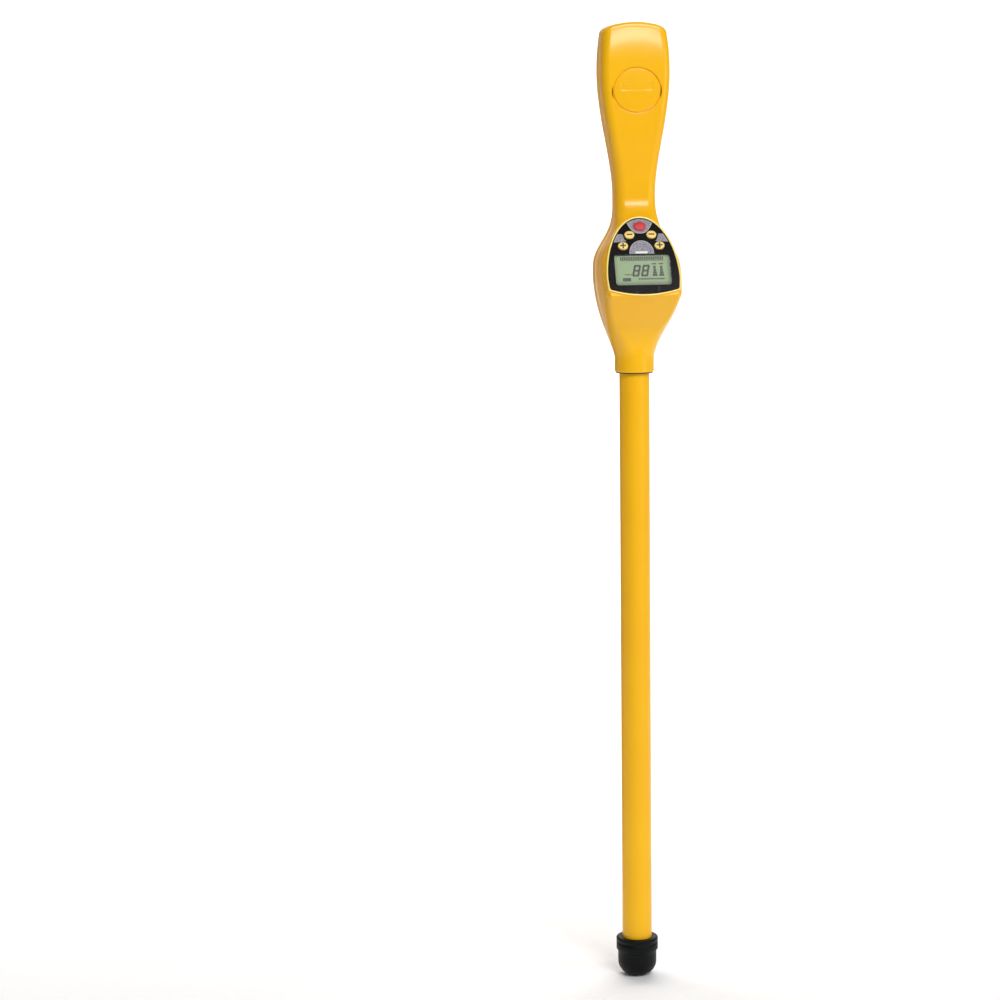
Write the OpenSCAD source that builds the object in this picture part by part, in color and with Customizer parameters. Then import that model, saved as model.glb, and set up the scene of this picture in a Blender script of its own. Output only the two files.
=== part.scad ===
// Hand-held magnetic locator wand: a long sensing tube under a moulded head.
// Millimetres.  The tip's lowest point is the origin, +Z runs up the tube's
// axis to the crown and the display faces -Y.

/* [Wand] */
// Height of the moulded head's collar above the tip
collar_z = 690.4; // [570:0.2:840]
// Length of the moulded head, from its collar to its crown
head_h = 382.8; // [355:0.2:460]
// Outside diameter of the sensing tube
tube_d = 33.4; // [30:0.2:38]
// Wall of the sensing tube
tube_wall = 2; // [1.5:0.1:3]
// Outside diameter of the collar
collar_d = 43.4; // [40:0.2:50]

/* [Head shells] */
// Widest part of the head, at the display
head_w = 87.8; // [78:0.2:104]
// Forward reach of the display face at its lower edge
chin_reach = 71.5; // [60:0.5:86]
// Depth of the head behind the tube's axis
head_back = 24.5; // [22:0.5:32]
// Width of the hand grip
grip_w = 44.6; // [38:0.2:54]
// Depth of the hand grip, front to back
grip_t = 38; // [32:0.5:46]
// Width of the speaker bulb
bulb_w = 75.8; // [66:0.2:91]
// Depth of the speaker bulb, front to back
bulb_t = 49; // [44:0.5:59]
// Wall of both shells
wall = 2.8; // [2.2:0.1:3.6]

/* [Control panel] */
// Lean of the display face from the vertical, in degrees
panel_tilt = 25.5; // [18:0.5:32]
// Width of the control panel
panel_w = 78; // [70:0.5:82]
// Length of the control panel along its face
panel_l = 89; // [80:0.5:100]
// Thickness of the control panel
panel_t = 2.2; // [1.6:0.1:3]
// Width of the display window
window_w = 61.6; // [52:0.2:64]
// Height of the display window
window_h = 36; // [28:0.2:38]
// Width of the power button
power_w = 13.6; // [12:0.2:15]
// Width of a volume or sensitivity button
key_w = 11.2; // [9:0.2:12]
// Travel of every button
key_travel = 0.8; // [0.5:0.1:1]

/* [Speaker] */
// Diameter of the round speaker cover
cover_d = 50.6; // [44:0.2:54]
// Width of the sound gap around the cover
sound_gap = 1.5; // [1:0.1:2]

/* [Battery bay] */
// Thickness of one block battery
cell_w = 17.5; // [16:0.1:19]
// Depth of one block battery
cell_t = 26.5; // [25:0.1:28]
// Length of one block battery
cell_l = 48.5; // [46:0.5:50]
// Thickness of the battery door
door_t = 2.4; // [2:0.1:3]
// Diameter of the door's hinge pin
pin_d = 2; // [1.6:0.1:2.4]

/* [Tip] */
// Height of the tip cap
cap_h = 44.4; // [38:0.2:60]
// Outside diameter of the tip cap
cap_d = 43.6; // [40:0.2:54]
// Height of the raised band around the cap's mouth
band_h = 15; // [10:0.5:18]
// How far the band stands out of the cap
band_out = 1.8; // [1:0.1:3]
// Rounding of the cap's foot
cap_round = 16; // [8:0.5:20]

/* [Hidden] */

// Gaps: pieces that touch, pieces that move, and a running pin
fit_gap = 0.05;
move_gap = 0.35;
pin_gap = 0.05;
fine = 48;

// Heights of the head's outline: from the collar up, and down from the crown
total_h = collar_z + head_h;
hip_z = collar_z + 16;
chin_z = collar_z + 89;
widest_z = collar_z + 111;
brow_z = collar_z + 170;
neck_z = collar_z + 187;
grip_z = collar_z + 193;
crown_r = 6;
crown_arc = 95;
crown_sag = crown_arc - sqrt(pow(crown_arc, 2) - pow(bulb_w / 2 - 3, 2));
shoulder_z = total_h - crown_sag - crown_r;
speaker_z = shoulder_z - 61;
bulb_z = shoulder_z - 41;
lean_z = shoulder_z - 33;
face_z = speaker_z - cover_d / 2 - sound_gap - 4.6;
crown_taper = 2.1;
crown_lean = 6;
swell = 0.69;
hip_run = 52;
waist_run = 62;
back_run = 40;

tube_r = tube_d / 2;
collar_r = collar_d / 2;
bore_r = tube_r + fit_gap;
bore_seat = bore_r + 4.75;
collar_corner = collar_r - 0.6;
knee_z = hip_z + 22;
chin_knee = 14;
chin_slope = (chin_reach - collar_r) / (chin_z - knee_z);
back_brow_z = brow_z - 24;
ring_steps = 6;

// Control panel: its own plane, u across, v up the face, w outwards
face_seat = 1.5;
panel_up = 1.2;
lip_w = 2;
lip_h = 0.7;
panel_gap = 0.15;
arch_v = 18;
foot_arc = 124;
foot_corner = 3;
ledge_w = 2.4;
ledge_t = 2;
window_v = 28.6;
window_t = 1.2;
window_rim = 1.4;
window_r = 3;
power_v = 79.1;
power_h = 11.6;
key_h = 9.4;
minus_u = 12.1;
minus_v = 69.2;
plus_u = 20.1;
plus_v = 56.4;
key_proud = 1.7;
key_step = 0.5;
flange_out = 0.7;
flange_t = 1;
stem_r = 1.6;
mat_t = 0.8;
mat_room = 1.6;
board_t = 1.6;
board_w0 = -(panel_t + ledge_t + 6.2);
board_v1 = 83;
switch_h = 4;
switch_w = 6;
board_fix = [[31, 50.6], [28, 4.6]];
lcd_rim = 1.4;
lcd_t = 2.4;

// Speaker, along -Y from the bulb's front face
bulb_front = bulb_t / 2;
cover_r = cover_d / 2;
hole_r = cover_r + sound_gap;
ring_y = -(bulb_front - wall - 0.2);
ring_t = 2;
ring_in = cover_r - 5;
ring_out = hole_r + 1.6;
basket_r = cover_r - 1.3;
peg_at = cover_r - 2.9;
peg_r = 1.6;
magnet_r = 13;
magnet_t = 5;

// Battery bay, behind the axis
cell_gap = 0.6;
bay_half = cell_w + cell_gap;
bay_z0 = collar_z + 76;
bay_h = cell_l + 6.5;
pad_y = head_back + 1.2;
door_y0 = pad_y - door_t;
land_y = door_y0 - 0.1;
land_w = 3.4;
door_half = bay_half + land_w;
door_z0 = bay_z0 - land_w;
latch_up = 5.5;
door_z1 = bay_z0 + bay_h + latch_up + 4;
pad_rim = 3;
hinge_y = pad_y - 1.7;
hinge_z = door_z0 - 2.5;
knuckle_r = 2;
knuckle_half = 8;
pin_half = 17;
hinge_gap = 1;
latch_z = bay_z0 + bay_h + latch_up;
stud_r = 2;
stud_reach = 4.5;
holder_t = 1.6;
frame_out = 3.9;
frame_in = 1.5;
cell_y1 = door_y0 - 0.8;
cell_y0 = cell_y1 - cell_t;

// Screws that close the shells: x and height, one or a pair of each
boss_r = 3.6;
boss_reach = 24;
seat_r = 4.6;
shell_fix = [[head_w / 2 - wall - 3.4, widest_z],
    [bore_seat, hip_z + 26], [20, face_z - 8], [24, shoulder_z - 15]];
mid_fix_z = mix(grip_z, face_z, 0.18);

// Sensing tube, and what seals and holds it in the collar
socket_top = hip_z + 34;
gasket_t = 1.2;
cord_z = collar_z + 9;
cord_r = 0.95;
retainer_z = hip_z + 18;
retainer_t = 3;
retainer_out = 2.2;
plug_in = 8;
foot_wall = 2;
foot_in = bore_r + foot_wall - cap_d / 2 + cap_round;
tube_z0 = max(4, cap_round
    - sqrt(pow(cap_round, 2) - pow(max(0, min(cap_round, foot_in)), 2)));
tube_z1 = socket_top - 4;
tube_in = tube_r - tube_wall;
sensor_l = 70;
sensor_span = 508;
lower_z = 62;
upper_z = lower_z + sensor_span;
rail_w = 14;
rail_t = 3;
lead_r = 0.9;

// ---------- outline of the head ----------

function ramp(t) = let (u = max(0, min(1, t))) u * u * (3 - 2 * u);
function quick_ramp(t) =
    let (u = max(0, min(1, t))) u * u * u * (u * (u * 6 - 15) + 10);
function hasten(t) = t + 0.5 * t * t * (1 - t);
function mix(a, b, t) = a + (b - a) * t;

// Half of the head's width at height z
function half_w(z) =
    z < hip_z ? collar_r
    : z < widest_z ? mix(collar_r, head_w / 2,
        ramp(pow((z - hip_z) / (widest_z - hip_z), swell)))
    : z < neck_z ? mix(head_w / 2, grip_w / 2,
        quick_ramp(hasten((z - widest_z) / (neck_z - widest_z))))
    : z < bulb_z ? mix(grip_w / 2, bulb_w / 2,
        ramp((z - grip_z) / (bulb_z - grip_z)))
    : bulb_w / 2
        - crown_taper * pow((z - bulb_z) / (shoulder_z - bulb_z), 2);

// Reach of the display plane at height z
function face_y(z) = chin_reach + (chin_z - z) * tan(panel_tilt);

// Reach of the slope under the chin, with a rounded start
function under_y(z) =
    let (s = z - knee_z, k = chin_knee)
    collar_r + chin_slope
        * (s < -k ? 0 : s > k ? s : pow(s + k, 2) / (4 * k));

// How far the bulb's faces lean in towards the crown
function lean(z) =
    crown_lean * pow(max(0, (z - lean_z) / (shoulder_z - lean_z)), 2);

function front_y(z) =
    z < brow_z ? min(under_y(z), face_y(z) - face_seat)
    : z < grip_z ? mix(grip_t / 2, face_y(brow_z) - face_seat,
        pow(1 - (z - brow_z) / (grip_z - brow_z), 2))
    : mix(grip_t / 2, bulb_front,
        ramp((z - grip_z) / (face_z - grip_z))) - lean(z);

function back_y(z) =
    z < back_brow_z ? mix(collar_r, head_back,
        ramp((z - hip_z - 4) / back_run))
    : z < neck_z ? mix(head_back, grip_t / 2,
        ramp((z - back_brow_z) / (neck_z - back_brow_z)))
    : mix(grip_t / 2, bulb_front,
        ramp((z - grip_z) / (face_z - grip_z))) - lean(z);

// Corner sizes [across, deep] of the section at height z
function blend3(low, head, grip, bulb, z) =
    z < widest_z ? mix(low, head, ramp((z - hip_z) / hip_run))
    : z < grip_z ? mix(head, grip, ramp((z - widest_z) / waist_run))
    : mix(grip, bulb, ramp((z - grip_z) / (face_z - grip_z)));
function front_corner(z) =
    [blend3(collar_corner, 6, 11, 9, z),
     blend3(collar_corner, 14, 10, 9, z)];
function back_corner(z) =
    let (r = blend3(collar_corner, 12, 11, 9, z)) [r, r];

// Slope of an outline function's value, for walls of even thickness
function stretch(a, b) = sqrt(1 + pow((a - b) / 2, 2));

// One quarter of a section: corner centre [cx, cy], radii [rx, ry]
function quarter(cx, cy, rx, ry, from) =
    [for (i = [0 : ring_steps])
        let (t = from + 90 * i / ring_steps)
        [cx + rx * cos(t), cy + ry * sin(t)]];

// Section outline at height z, drawn in by skin all round
function section(z, skin) =
    let (a = half_w(z) - skin,
         f = front_y(z) - skin * stretch(front_y(z + 1), front_y(z - 1)),
         b = back_y(z) - skin,
         fc = front_corner(z),
         bc = back_corner(z),
         fx = max(2, fc[0] - skin),
         fy = max(2, fc[1] - skin),
         br = max(2, bc[0] - skin))
    concat(quarter(a - br, b - br, br, br, 0),
        quarter(-a + br, b - br, br, br, 90),
        quarter(-a + fx, -f + fy, fx, fy, 180),
        quarter(a - fx, -f + fy, fx, fy, 270));

// Rise of the crown's arc, which fades in above the bulb
function arch(x, z) =
    let (w = ramp((z - bulb_z) / (shoulder_z - bulb_z)))
    w * (crown_sag - crown_arc + sqrt(pow(crown_arc, 2) - x * x));

function ring_at(z, skin, inset, rise) =
    [for (p = section(z, skin))
        let (k = 1 - inset / (half_w(z) - skin))
        [p[0] * k, p[1] * k, z + rise + arch(p[0] * k, z)]];

function levels(z0) = concat(
    [for (i = [0 : 8]) mix(z0, chin_z, i / 9)],
    [for (i = [0 : 7]) mix(chin_z, brow_z, i / 8)],
    [for (i = [0 : 3]) mix(brow_z, grip_z, i / 4)],
    [for (i = [0 : 8]) mix(grip_z, bulb_z, i / 9)],
    [for (i = [0 : 4]) mix(bulb_z, shoulder_z, i / 4)]);

// Solid body of the head, drawn in by skin, from height z0 to the crown
module head_body(z0, skin) {
    r = crown_r - min(skin, crown_r - 2);
    top = crown_r - skin;
    rings = concat([for (z = levels(z0)) ring_at(z, skin, 0, 0)],
        [for (t = [30, 60, 90])
            ring_at(shoulder_z, skin, r * (1 - cos(t)),
                r * sin(t) + (top - r) * t / 90)]);
    n = 4 * (ring_steps + 1);
    m = len(rings);
    half = n / 2;
    top0 = (m - 1) * n;
    points = [for (ring = rings) for (p = ring) p];
    sides = [for (k = [0 : m - 2]) for (i = [0 : n - 1])
        [k * n + i, (k + 1) * n + i, (k + 1) * n + (i + 1) % n,
            k * n + (i + 1) % n]];
    lid = [for (i = [0 : half - 2])
        [top0 + i, top0 + n - 1 - i, top0 + n - 2 - i, top0 + i + 1]];
    polyhedron(points, concat(sides, lid, [[for (i = [0 : n - 1]) i]]),
        convexity = 6);
}

// ---------- shared shapes ----------

// Places children on the display plane, w = 0 on its face
module on_face() {
    translate([0, -chin_reach, chin_z])
        rotate([90 - panel_tilt, 0, 0])
            translate([0, panel_up, 0])
                children();
}

// Panel outline, grown by g: elliptical arch over a shallow curved foot
function arch_w(v, g) =
    (panel_w / 2 + g) * sqrt(1 - pow((v - arch_v)
        / (panel_l - arch_v + g), 2));
function foot_v(u, g) =
    foot_arc - g - sqrt(pow(foot_arc, 2) - u * u);
function panel_points(g) =
    let (top = [for (t = [0 : 6 : 180])
            [(panel_w / 2 + g) * cos(t),
             arch_v + (panel_l - arch_v + g) * sin(t)]],
         edge = panel_w / 2 + g - 1,
         r = foot_corner,
         base = foot_v(edge - r, g),
         left = [for (t = [180 : 30 : 270])
            [-edge + r + r * cos(t), base + r + r * sin(t)]],
         foot = [for (i = [-4 : 4])
            [(edge - r) * i / 5, foot_v((edge - r) * i / 5, g)]],
         right = [for (t = [270 : 30 : 360])
            [edge - r + r * cos(t), base + r + r * sin(t)]])
    concat(top, left, foot, right);

// Slab in the panel's outline grown by g, between heights w0 and w1
module panel_slab(g, w0, w1) {
    translate([0, 0, w0])
        linear_extrude(w1 - w0)
            polygon(panel_points(g));
}

// Upright slab with rounded corners, centred in x and y
module round_slab(w, h, r, t) {
    linear_extrude(t) {
        square([w - 2 * r, h], center = true);
        square([w, h - 2 * r], center = true);
        for (x = [-1, 1])
            for (y = [-1, 1])
                translate([x * (w / 2 - r), y * (h / 2 - r)])
                    circle(r, $fn = fine);
    }
}

// Button outline: two round ends joined by a flat
module key_slab(w, h, t) {
    linear_extrude(t) {
        square([w - h, h], center = true);
        for (x = [-1, 1])
            translate([x * (w - h) / 2, 0])
                circle(h / 2, $fn = fine);
    }
}

// Cylinder that runs back along +Y from y
module along_y(y, r, len) {
    translate([0, y, 0])
        rotate([-90, 0, 0])
            cylinder(h = len, r = r, $fn = fine);
}

// Cross-headed screw: head on z = 0, shank down -Z
module cross_screw(head_r, head_t, shank_r, len) {
    slot = head_r * 0.36;
    difference() {
        union() {
            cylinder(h = head_t, r = head_r, $fn = fine);
            translate([0, 0, -len])
                cylinder(h = len + 0.1, r = shank_r, $fn = fine);
        }
        for (turn = [0, 90])
            rotate(turn)
                translate([-head_r * 0.65, -slot / 2, head_t * 0.45])
                    cube([head_r * 1.3, slot, head_t]);
    }
}

// Wire of radius r swept along path as one eight-sided solid
module wire(path, r) {
    n = len(path);
    heads = [for (i = [0 : n - 1])
        let (d = path[min(i + 1, n - 1)] - path[max(i - 1, 0)])
        d / norm(d)];
    points = [for (i = [0 : n - 1])
        let (a = cross(heads[i], [1, 0, 0]), p = a / norm(a),
             q = cross(heads[i], p))
        for (t = [0 : 45 : 315])
            path[i] + r * (cos(t) * p + sin(t) * q)];
    sides = [for (i = [0 : n - 2]) for (k = [0 : 7])
        [8 * i + k, 8 * i + (k + 1) % 8, 8 * i + 8 + (k + 1) % 8,
            8 * i + 8 + k]];
    ends = [[for (k = [7 : -1 : 0]) k], [for (k = [0 : 7]) 8 * n - 8 + k]];
    polyhedron(points, concat(sides, ends), convexity = 4);
}

// Every shell screw's [x, height] on the parting plane
screw_places = concat([[0, mid_fix_z]],
    [for (p = shell_fix) for (side = [-1, 1]) [side * p[0], p[1]]]);
module at_shell_screws() {
    for (p = screw_places)
        translate([p[0], 0, p[1]])
            children();
}

module at_board_screws() {
    for (p = board_fix)
        for (side = [-1, 1])
            translate([side * p[0], p[1], 0])
                children();
}

// The five buttons: [u, v, width, height]
power_key = [0, power_v, power_w, power_h];
small_keys = [[-minus_u, minus_v, key_w, key_h],
    [-plus_u, plus_v, key_w, key_h],
    [minus_u, minus_v, key_w, key_h],
    [plus_u, plus_v, key_w, key_h]];
keys = concat([power_key], small_keys);

// ---------- shells ----------

screw_seat = 9;
screw_len = 18;

// Depth of the rear shell's skin over a screw, on its rounded corner
function screw_y(p) =
    let (r = back_corner(p[1])[0],
         over = max(0, abs(p[0]) - half_w(p[1]) + r))
    back_y(p[1]) - r + sqrt(max(0, r * r - over * over));

module half_space(side) {
    translate([-100, side < 0 ? -150 : 0, collar_z - 5])
        cube([200, 150, total_h]);
}

// Both shells in one piece, before the parting cut
module whole_shell() {
    difference() {
        union() {
            difference() {
                union() {
                    head_body(hip_z - 4, 0);
                    translate([0, 0, collar_z])
                        cylinder(h = 20, r = collar_r, $fn = 96);
                }
                head_body(hip_z + 10, wall);
            }
            translate([0, 0, hip_z - 4])
                cylinder(h = socket_top - hip_z + 4, r = bore_r + 3.4,
                    $fn = 96);
        }
        translate([0, 0, collar_z - 1])
            cylinder(h = socket_top - collar_z + 2, r = bore_r,
                $fn = 96);
        translate([0, 0, retainer_z])
            cylinder(h = retainer_t + 2 * fit_gap,
                r = tube_r + retainer_out + 0.1, $fn = 96);
        translate([0, 0, cord_z])
            rotate_extrude($fn = 96)
                translate([tube_r + cord_r, 0])
                    circle(cord_r + 0.1, $fn = 32);
    }
}

// Ring in the parting plane that holds the seal, grown by g
module seal_ring(g) {
    rim = function (skin) concat(
        [for (z = levels(hip_z)) [half_w(z) - skin, z + arch(half_w(z), z)]],
        [for (i = [1 : 8])
            let (x = (half_w(shoulder_z) - crown_r) * (1 - i / 8))
            [x, total_h - skin - crown_arc
                + sqrt(pow(crown_arc, 2) - x * x)]]);
    flip = function (pts) [for (i = [len(pts) - 2 : -1 : 0])
        [-pts[i][0], pts[i][1]]];
    outer = rim(0.8 - g);
    inner = rim(2 + g);
    loop = concat(outer, flip(outer));
    back = concat(inner, flip(inner));
    rotate([90, 0, 0])
        linear_extrude(1)
            polygon(concat(loop, [for (i = [len(back) - 1 : -1 : 0])
                back[i]]));
}

module front_shell() {
    color("#fab719") difference() {
        union() {
            intersection() {
                whole_shell();
                half_space(-1);
            }
            on_face()
                panel_slab(lip_w, -panel_t - ledge_t, lip_h);
            on_face()
                at_board_screws()
                    translate([0, 0, board_w0 + fit_gap])
                        cylinder(h = -board_w0 - panel_t - 0.5, r = 2.6,
                            $fn = fine);
            for (p = screw_places)
                translate([p[0], 0, p[1]])
                    let (skin = front_y(p[1]) - 1.2,
                         reach = p[1] > grip_z ? skin
                             : min(boss_reach, skin))
                    along_y(-reach, boss_r, reach);
        }
        on_face() {
            panel_slab(panel_gap, -panel_t - fit_gap, 5);
            difference() {
                panel_slab(-ledge_w, -panel_t - ledge_t - mat_room, 0);
                at_board_screws()
                    translate([0, 0, -20])
                        cylinder(h = 30, r = 2.6, $fn = fine);
            }
            at_board_screws()
                translate([0, 0, board_w0])
                    cylinder(h = 5, r = 1.05, $fn = fine);
        }
        at_shell_screws()
            along_y(-11, 1.55, 13);
        translate([0, 0, speaker_z])
            along_y(-bulb_front - 5, hole_r, 10);
        seal_ring(fit_gap);
    }
}

module rear_shell() {
    pad_h = door_z1 - door_z0 + 2 * pad_rim + 3;
    pad_z = door_z0 - pad_rim - 3 + pad_h / 2;
    mid_z = (door_z0 + door_z1) / 2;
    color("#fab719") difference() {
        union() {
            intersection() {
                whole_shell();
                half_space(1);
            }
            translate([0, pad_y, pad_z])
                rotate([90, 0, 0])
                    round_slab(2 * (door_half + pad_rim), pad_h, 4,
                        pad_y - land_y + 3.6);
            for (p = screw_places)
                translate([p[0], 0, p[1]]) {
                    along_y(0, boss_r, screw_seat);
                    along_y(screw_seat - 2.4,
                        p[1] < socket_top ? boss_r : seat_r,
                        screw_y(p) - screw_seat + 0.6);
                }
        }
        translate([0, pad_y + 1, mid_z + (move_gap - hinge_gap) / 2])
            rotate([90, 0, 0])
                round_slab(2 * (door_half + move_gap),
                    door_z1 - door_z0 + move_gap + hinge_gap, 2.5,
                    pad_y + 1 - land_y);
        translate([-bay_half - 0.1, 0, bay_z0])
            cube([2 * bay_half + 0.2, 40, bay_h]);
        door_frame(fit_gap, land_y - 1, 1.5);
        translate([-knuckle_half - move_gap, hinge_y - knuckle_r - 0.4,
            hinge_z - knuckle_r - 0.4])
            cube([2 * (knuckle_half + move_gap), 8, knuckle_r + 3.4]);
        translate([-pin_half - fit_gap, hinge_y, hinge_z])
            rotate([0, 90, 0])
                cylinder(h = 2 * (pin_half + fit_gap),
                    r = pin_d / 2 + 0.01, $fn = fine);
        translate([0, 0, latch_z]) {
            along_y(land_y - 1.4, 4.2, 6);
            along_y(land_y - stud_reach - 1, stud_r + 0.7, 8);
        }
        at_shell_screws() {
            along_y(-1, 1.75, 30);
            along_y(screw_seat, 3.2, 30);
        }
    }
}

// Frame-shaped ring around the battery opening, grown by g
module door_frame(g, y, t) {
    cz = bay_z0 + bay_h / 2;
    translate([0, y + t, cz])
        rotate([90, 0, 0])
            difference() {
                round_slab(2 * bay_half + frame_out + 2 * g,
                    bay_h + frame_out + 2 * g, 2, t);
                translate([0, 0, -1])
                    round_slab(2 * bay_half + frame_in - 2 * g,
                        bay_h + frame_in - 2 * g, 1, t + 2);
            }
}

module parting_seal() {
    color("#262626") seal_ring(0);
}

module shell_screws() {
    color("#8a8d90") at_shell_screws()
        translate([0, screw_seat, 0])
            rotate([-90, 0, 0])
                cross_screw(2.9, 2.2, 1.5, screw_len);
}

module collar_gasket() {
    color("#262626") translate([0, 0, collar_z - gasket_t])
        difference() {
            cylinder(h = gasket_t, r = collar_r - 1.2, $fn = 96);
            translate([0, 0, -1])
                cylinder(h = gasket_t + 2, r = bore_r, $fn = 96);
        }
}

// ---------- control panel ----------

module control_panel() {
    color("#24201f") on_face() difference() {
        panel_slab(0, -panel_t, 0);
        translate([0, window_v, -panel_t - 1])
            round_slab(window_w, window_h, window_r, 5);
        translate([0, window_v, -panel_t - 1])
            round_slab(window_w + 2 * window_rim,
                window_h + 2 * window_rim, window_r + window_rim,
                panel_t + 1 - 0.6);
        for (k = keys)
            translate([k[0], k[1], -panel_t - 1])
                key_slab(k[2] + 2 * move_gap, k[3] + 2 * move_gap, 5);
    }
}

module display_window() {
    color([0.85, 0.9, 0.85, 0.35]) on_face()
        translate([0, window_v, -0.6 - window_t - fit_gap]) {
            round_slab(window_w + 2 * window_rim - 0.2,
                window_h + 2 * window_rim - 0.2,
                window_r + window_rim, window_t);
            translate([0, 0, window_t / 2])
                round_slab(window_w - 0.2, window_h - 0.2, window_r,
                    window_t / 2 + 0.45 + fit_gap);
        }
}

// Rectangular pieces of the display stack, seated on the board
lcd_w = window_w + 2 * lcd_rim;
lcd_h = window_h + 2 * lcd_rim;
lcd_top = -panel_t - 0.6;

module lcd_frame() {
    color("#b9bcbe") on_face() translate([0, window_v, board_w0])
        difference() {
            round_slab(lcd_w, lcd_h, 1, lcd_top - board_w0);
            translate([0, 0, -1])
                round_slab(lcd_w - 2, lcd_h - 2, 0.6,
                    lcd_top - board_w0 + 0.4);
            round_slab(window_w - 0.6, window_h - 0.6, 1, 30);
        }
}

module lcd_glass() {
    color("#8d9379") on_face()
        translate([0, window_v, lcd_top - 0.7 - lcd_t])
            round_slab(lcd_w - 2.2, lcd_h - 2.2, 0.5, lcd_t);
}

module backlight() {
    color("#e8ebe4") on_face()
        translate([0, window_v, board_w0 + 0.1])
            round_slab(lcd_w - 2.6, lcd_h - 2.6, 0.5,
                lcd_top - 0.9 - lcd_t - board_w0);
}

// Button k: cap through the panel, flange under it and a stem
module button(k, tint) {
    color(tint) on_face() translate([k[0], k[1], 0]) {
        translate([0, 0, -panel_t - 0.5])
            key_slab(k[2], k[3], panel_t + 0.5 + key_proud - key_step);
        translate([0, 0, key_proud - key_step - 0.01])
            key_slab(k[2] - 0.9, k[3] - 0.9, key_step + 0.01);
        translate([0, 0, -panel_t - 0.1 - flange_t])
            key_slab(k[2] + 2 * flange_out, k[3] + 2 * flange_out,
                flange_t);
        translate([0, 0, board_w0 + switch_h + key_travel + 0.1])
            cylinder(h = -board_w0 - switch_h - panel_t - 1, r = stem_r,
                $fn = fine);
    }
}

module power_button() {
    button(power_key, "#d73c41");
}

module volume_down_button() {
    button(small_keys[0], "#f5cd6e");
}

module volume_up_button() {
    button(small_keys[1], "#f5cd6e");
}

module sensitivity_down_button() {
    button(small_keys[2], "#f5cd6e");
}

module sensitivity_up_button() {
    button(small_keys[3], "#f5cd6e");
}

// Rubber sheet behind the buttons, clamped under the shell's ledge
module key_mat() {
    mat_w = -panel_t - ledge_t - 0.5;
    mat_half = plus_u + 3.5;
    color("#4a4a4e") on_face() difference() {
        intersection() {
            panel_slab(-ledge_w - 0.1, mat_w - mat_t, mat_w);
            translate([-mat_half, window_v + lcd_h / 2 + 0.6, -20])
                cube([2 * mat_half, 100, 30]);
        }
        for (k = keys)
            translate([k[0], k[1], -20])
                cylinder(h = 30, r = stem_r + move_gap, $fn = fine);
    }
}

module main_board() {
    color("#1f6b3a") on_face() difference() {
        intersection() {
            panel_slab(-1, board_w0 - board_t, board_w0);
            translate([-50, 1, -30])
                cube([100, board_v1 - 1, 60]);
        }
        at_board_screws()
            translate([0, 0, -30])
                cylinder(h = 30, r = 1.3, $fn = fine);
    }
}

module key_switches() {
    color("#303236") on_face()
        for (k = keys)
            translate([k[0], k[1], board_w0]) {
                translate([-switch_w / 2, -switch_w / 2, 0])
                    cube([switch_w, switch_w, switch_h - 0.9]);
                cylinder(h = switch_h, r = 1.7, $fn = fine);
            }
}

module board_screws() {
    color("#8a8d90") on_face()
        at_board_screws()
            translate([0, 0, board_w0 - board_t])
                mirror([0, 0, 1])
                    cross_screw(2.1, 1.4, 1, board_t + 4);
}

// Pieces soldered to the board's back: [u, v, width, height, depth]
module board_chips() {
    under = board_w0 - board_t;
    color("#26282b") on_face()
        for (c = [[-14, 34, 14, 14, 2], [12, 38, 9, 12, 2],
            [10, 18, 16, 7, 2.6], [-16, 14, 9, 9, 1.8]])
            translate([c[0] - c[2] / 2, c[1] - c[3] / 2, under - c[4]])
                cube([c[2], c[3], c[4]]);
}

// Sockets for the speaker, battery and sensor leads
sockets = [[0, 76, 8], [17, 60, 8], [-4, 6, 13]];
socket_t = 5;
socket_h = 6;
module board_sockets() {
    under = board_w0 - board_t;
    color("#e9e6dc") on_face()
        for (s = sockets)
            translate([s[0] - s[2] / 2, s[1] - socket_h / 2, under - socket_t])
                cube([s[2], socket_h, socket_t]);
}

// A socket's mouth in the wand's own frame
function on_back(u, v, w) =
    let (c = cos(panel_tilt), s = sin(panel_tilt), up = v + panel_up)
    [u, -chin_reach + up * s - w * c, chin_z + up * c + w * s];
function socket_mouth(i, out, side) =
    on_back(sockets[i][0] + side, sockets[i][1],
        board_w0 - board_t - socket_t - out);

// ---------- speaker ----------

module speaker_cover() {
    dome = 1;
    r = (pow(cover_r, 2) + dome * dome) / (2 * dome);
    cap = [for (i = [0 : 8])
        let (x = cover_r * i / 8)
        [x, sqrt(r * r - x * x) - r + dome]];
    color("#fab719") translate([0, 0, speaker_z])
        difference() {
            union() {
                translate([0, -bulb_front, 0])
                    rotate([90, 0, 0])
                        rotate_extrude($fn = 96)
                            polygon(concat(cap,
                                [[cover_r, -2.4], [0, -2.4]]));
                for (turn = [45 : 90 : 315])
                    rotate([0, turn, 0])
                        translate([peg_at, 0, 0])
                            along_y(-bulb_front + 2.3, peg_r,
                                ring_y + bulb_front + ring_t - 2.6);
            }
            translate([-17.5, -bulb_front - dome - 1, -0.5])
                cube([35, 1.5, 9]);
        }
}

module speaker_ring() {
    color("#3b3d40") translate([0, 0, speaker_z])
        difference() {
            along_y(ring_y, ring_out, ring_t);
            along_y(ring_y - 1, ring_in, ring_t + 2);
            for (turn = [45 : 90 : 315])
                rotate([0, turn, 0])
                    translate([peg_at, 0, 0])
                        along_y(ring_y - 1, peg_r + 0.1, ring_t + 2);
        }
}

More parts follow.
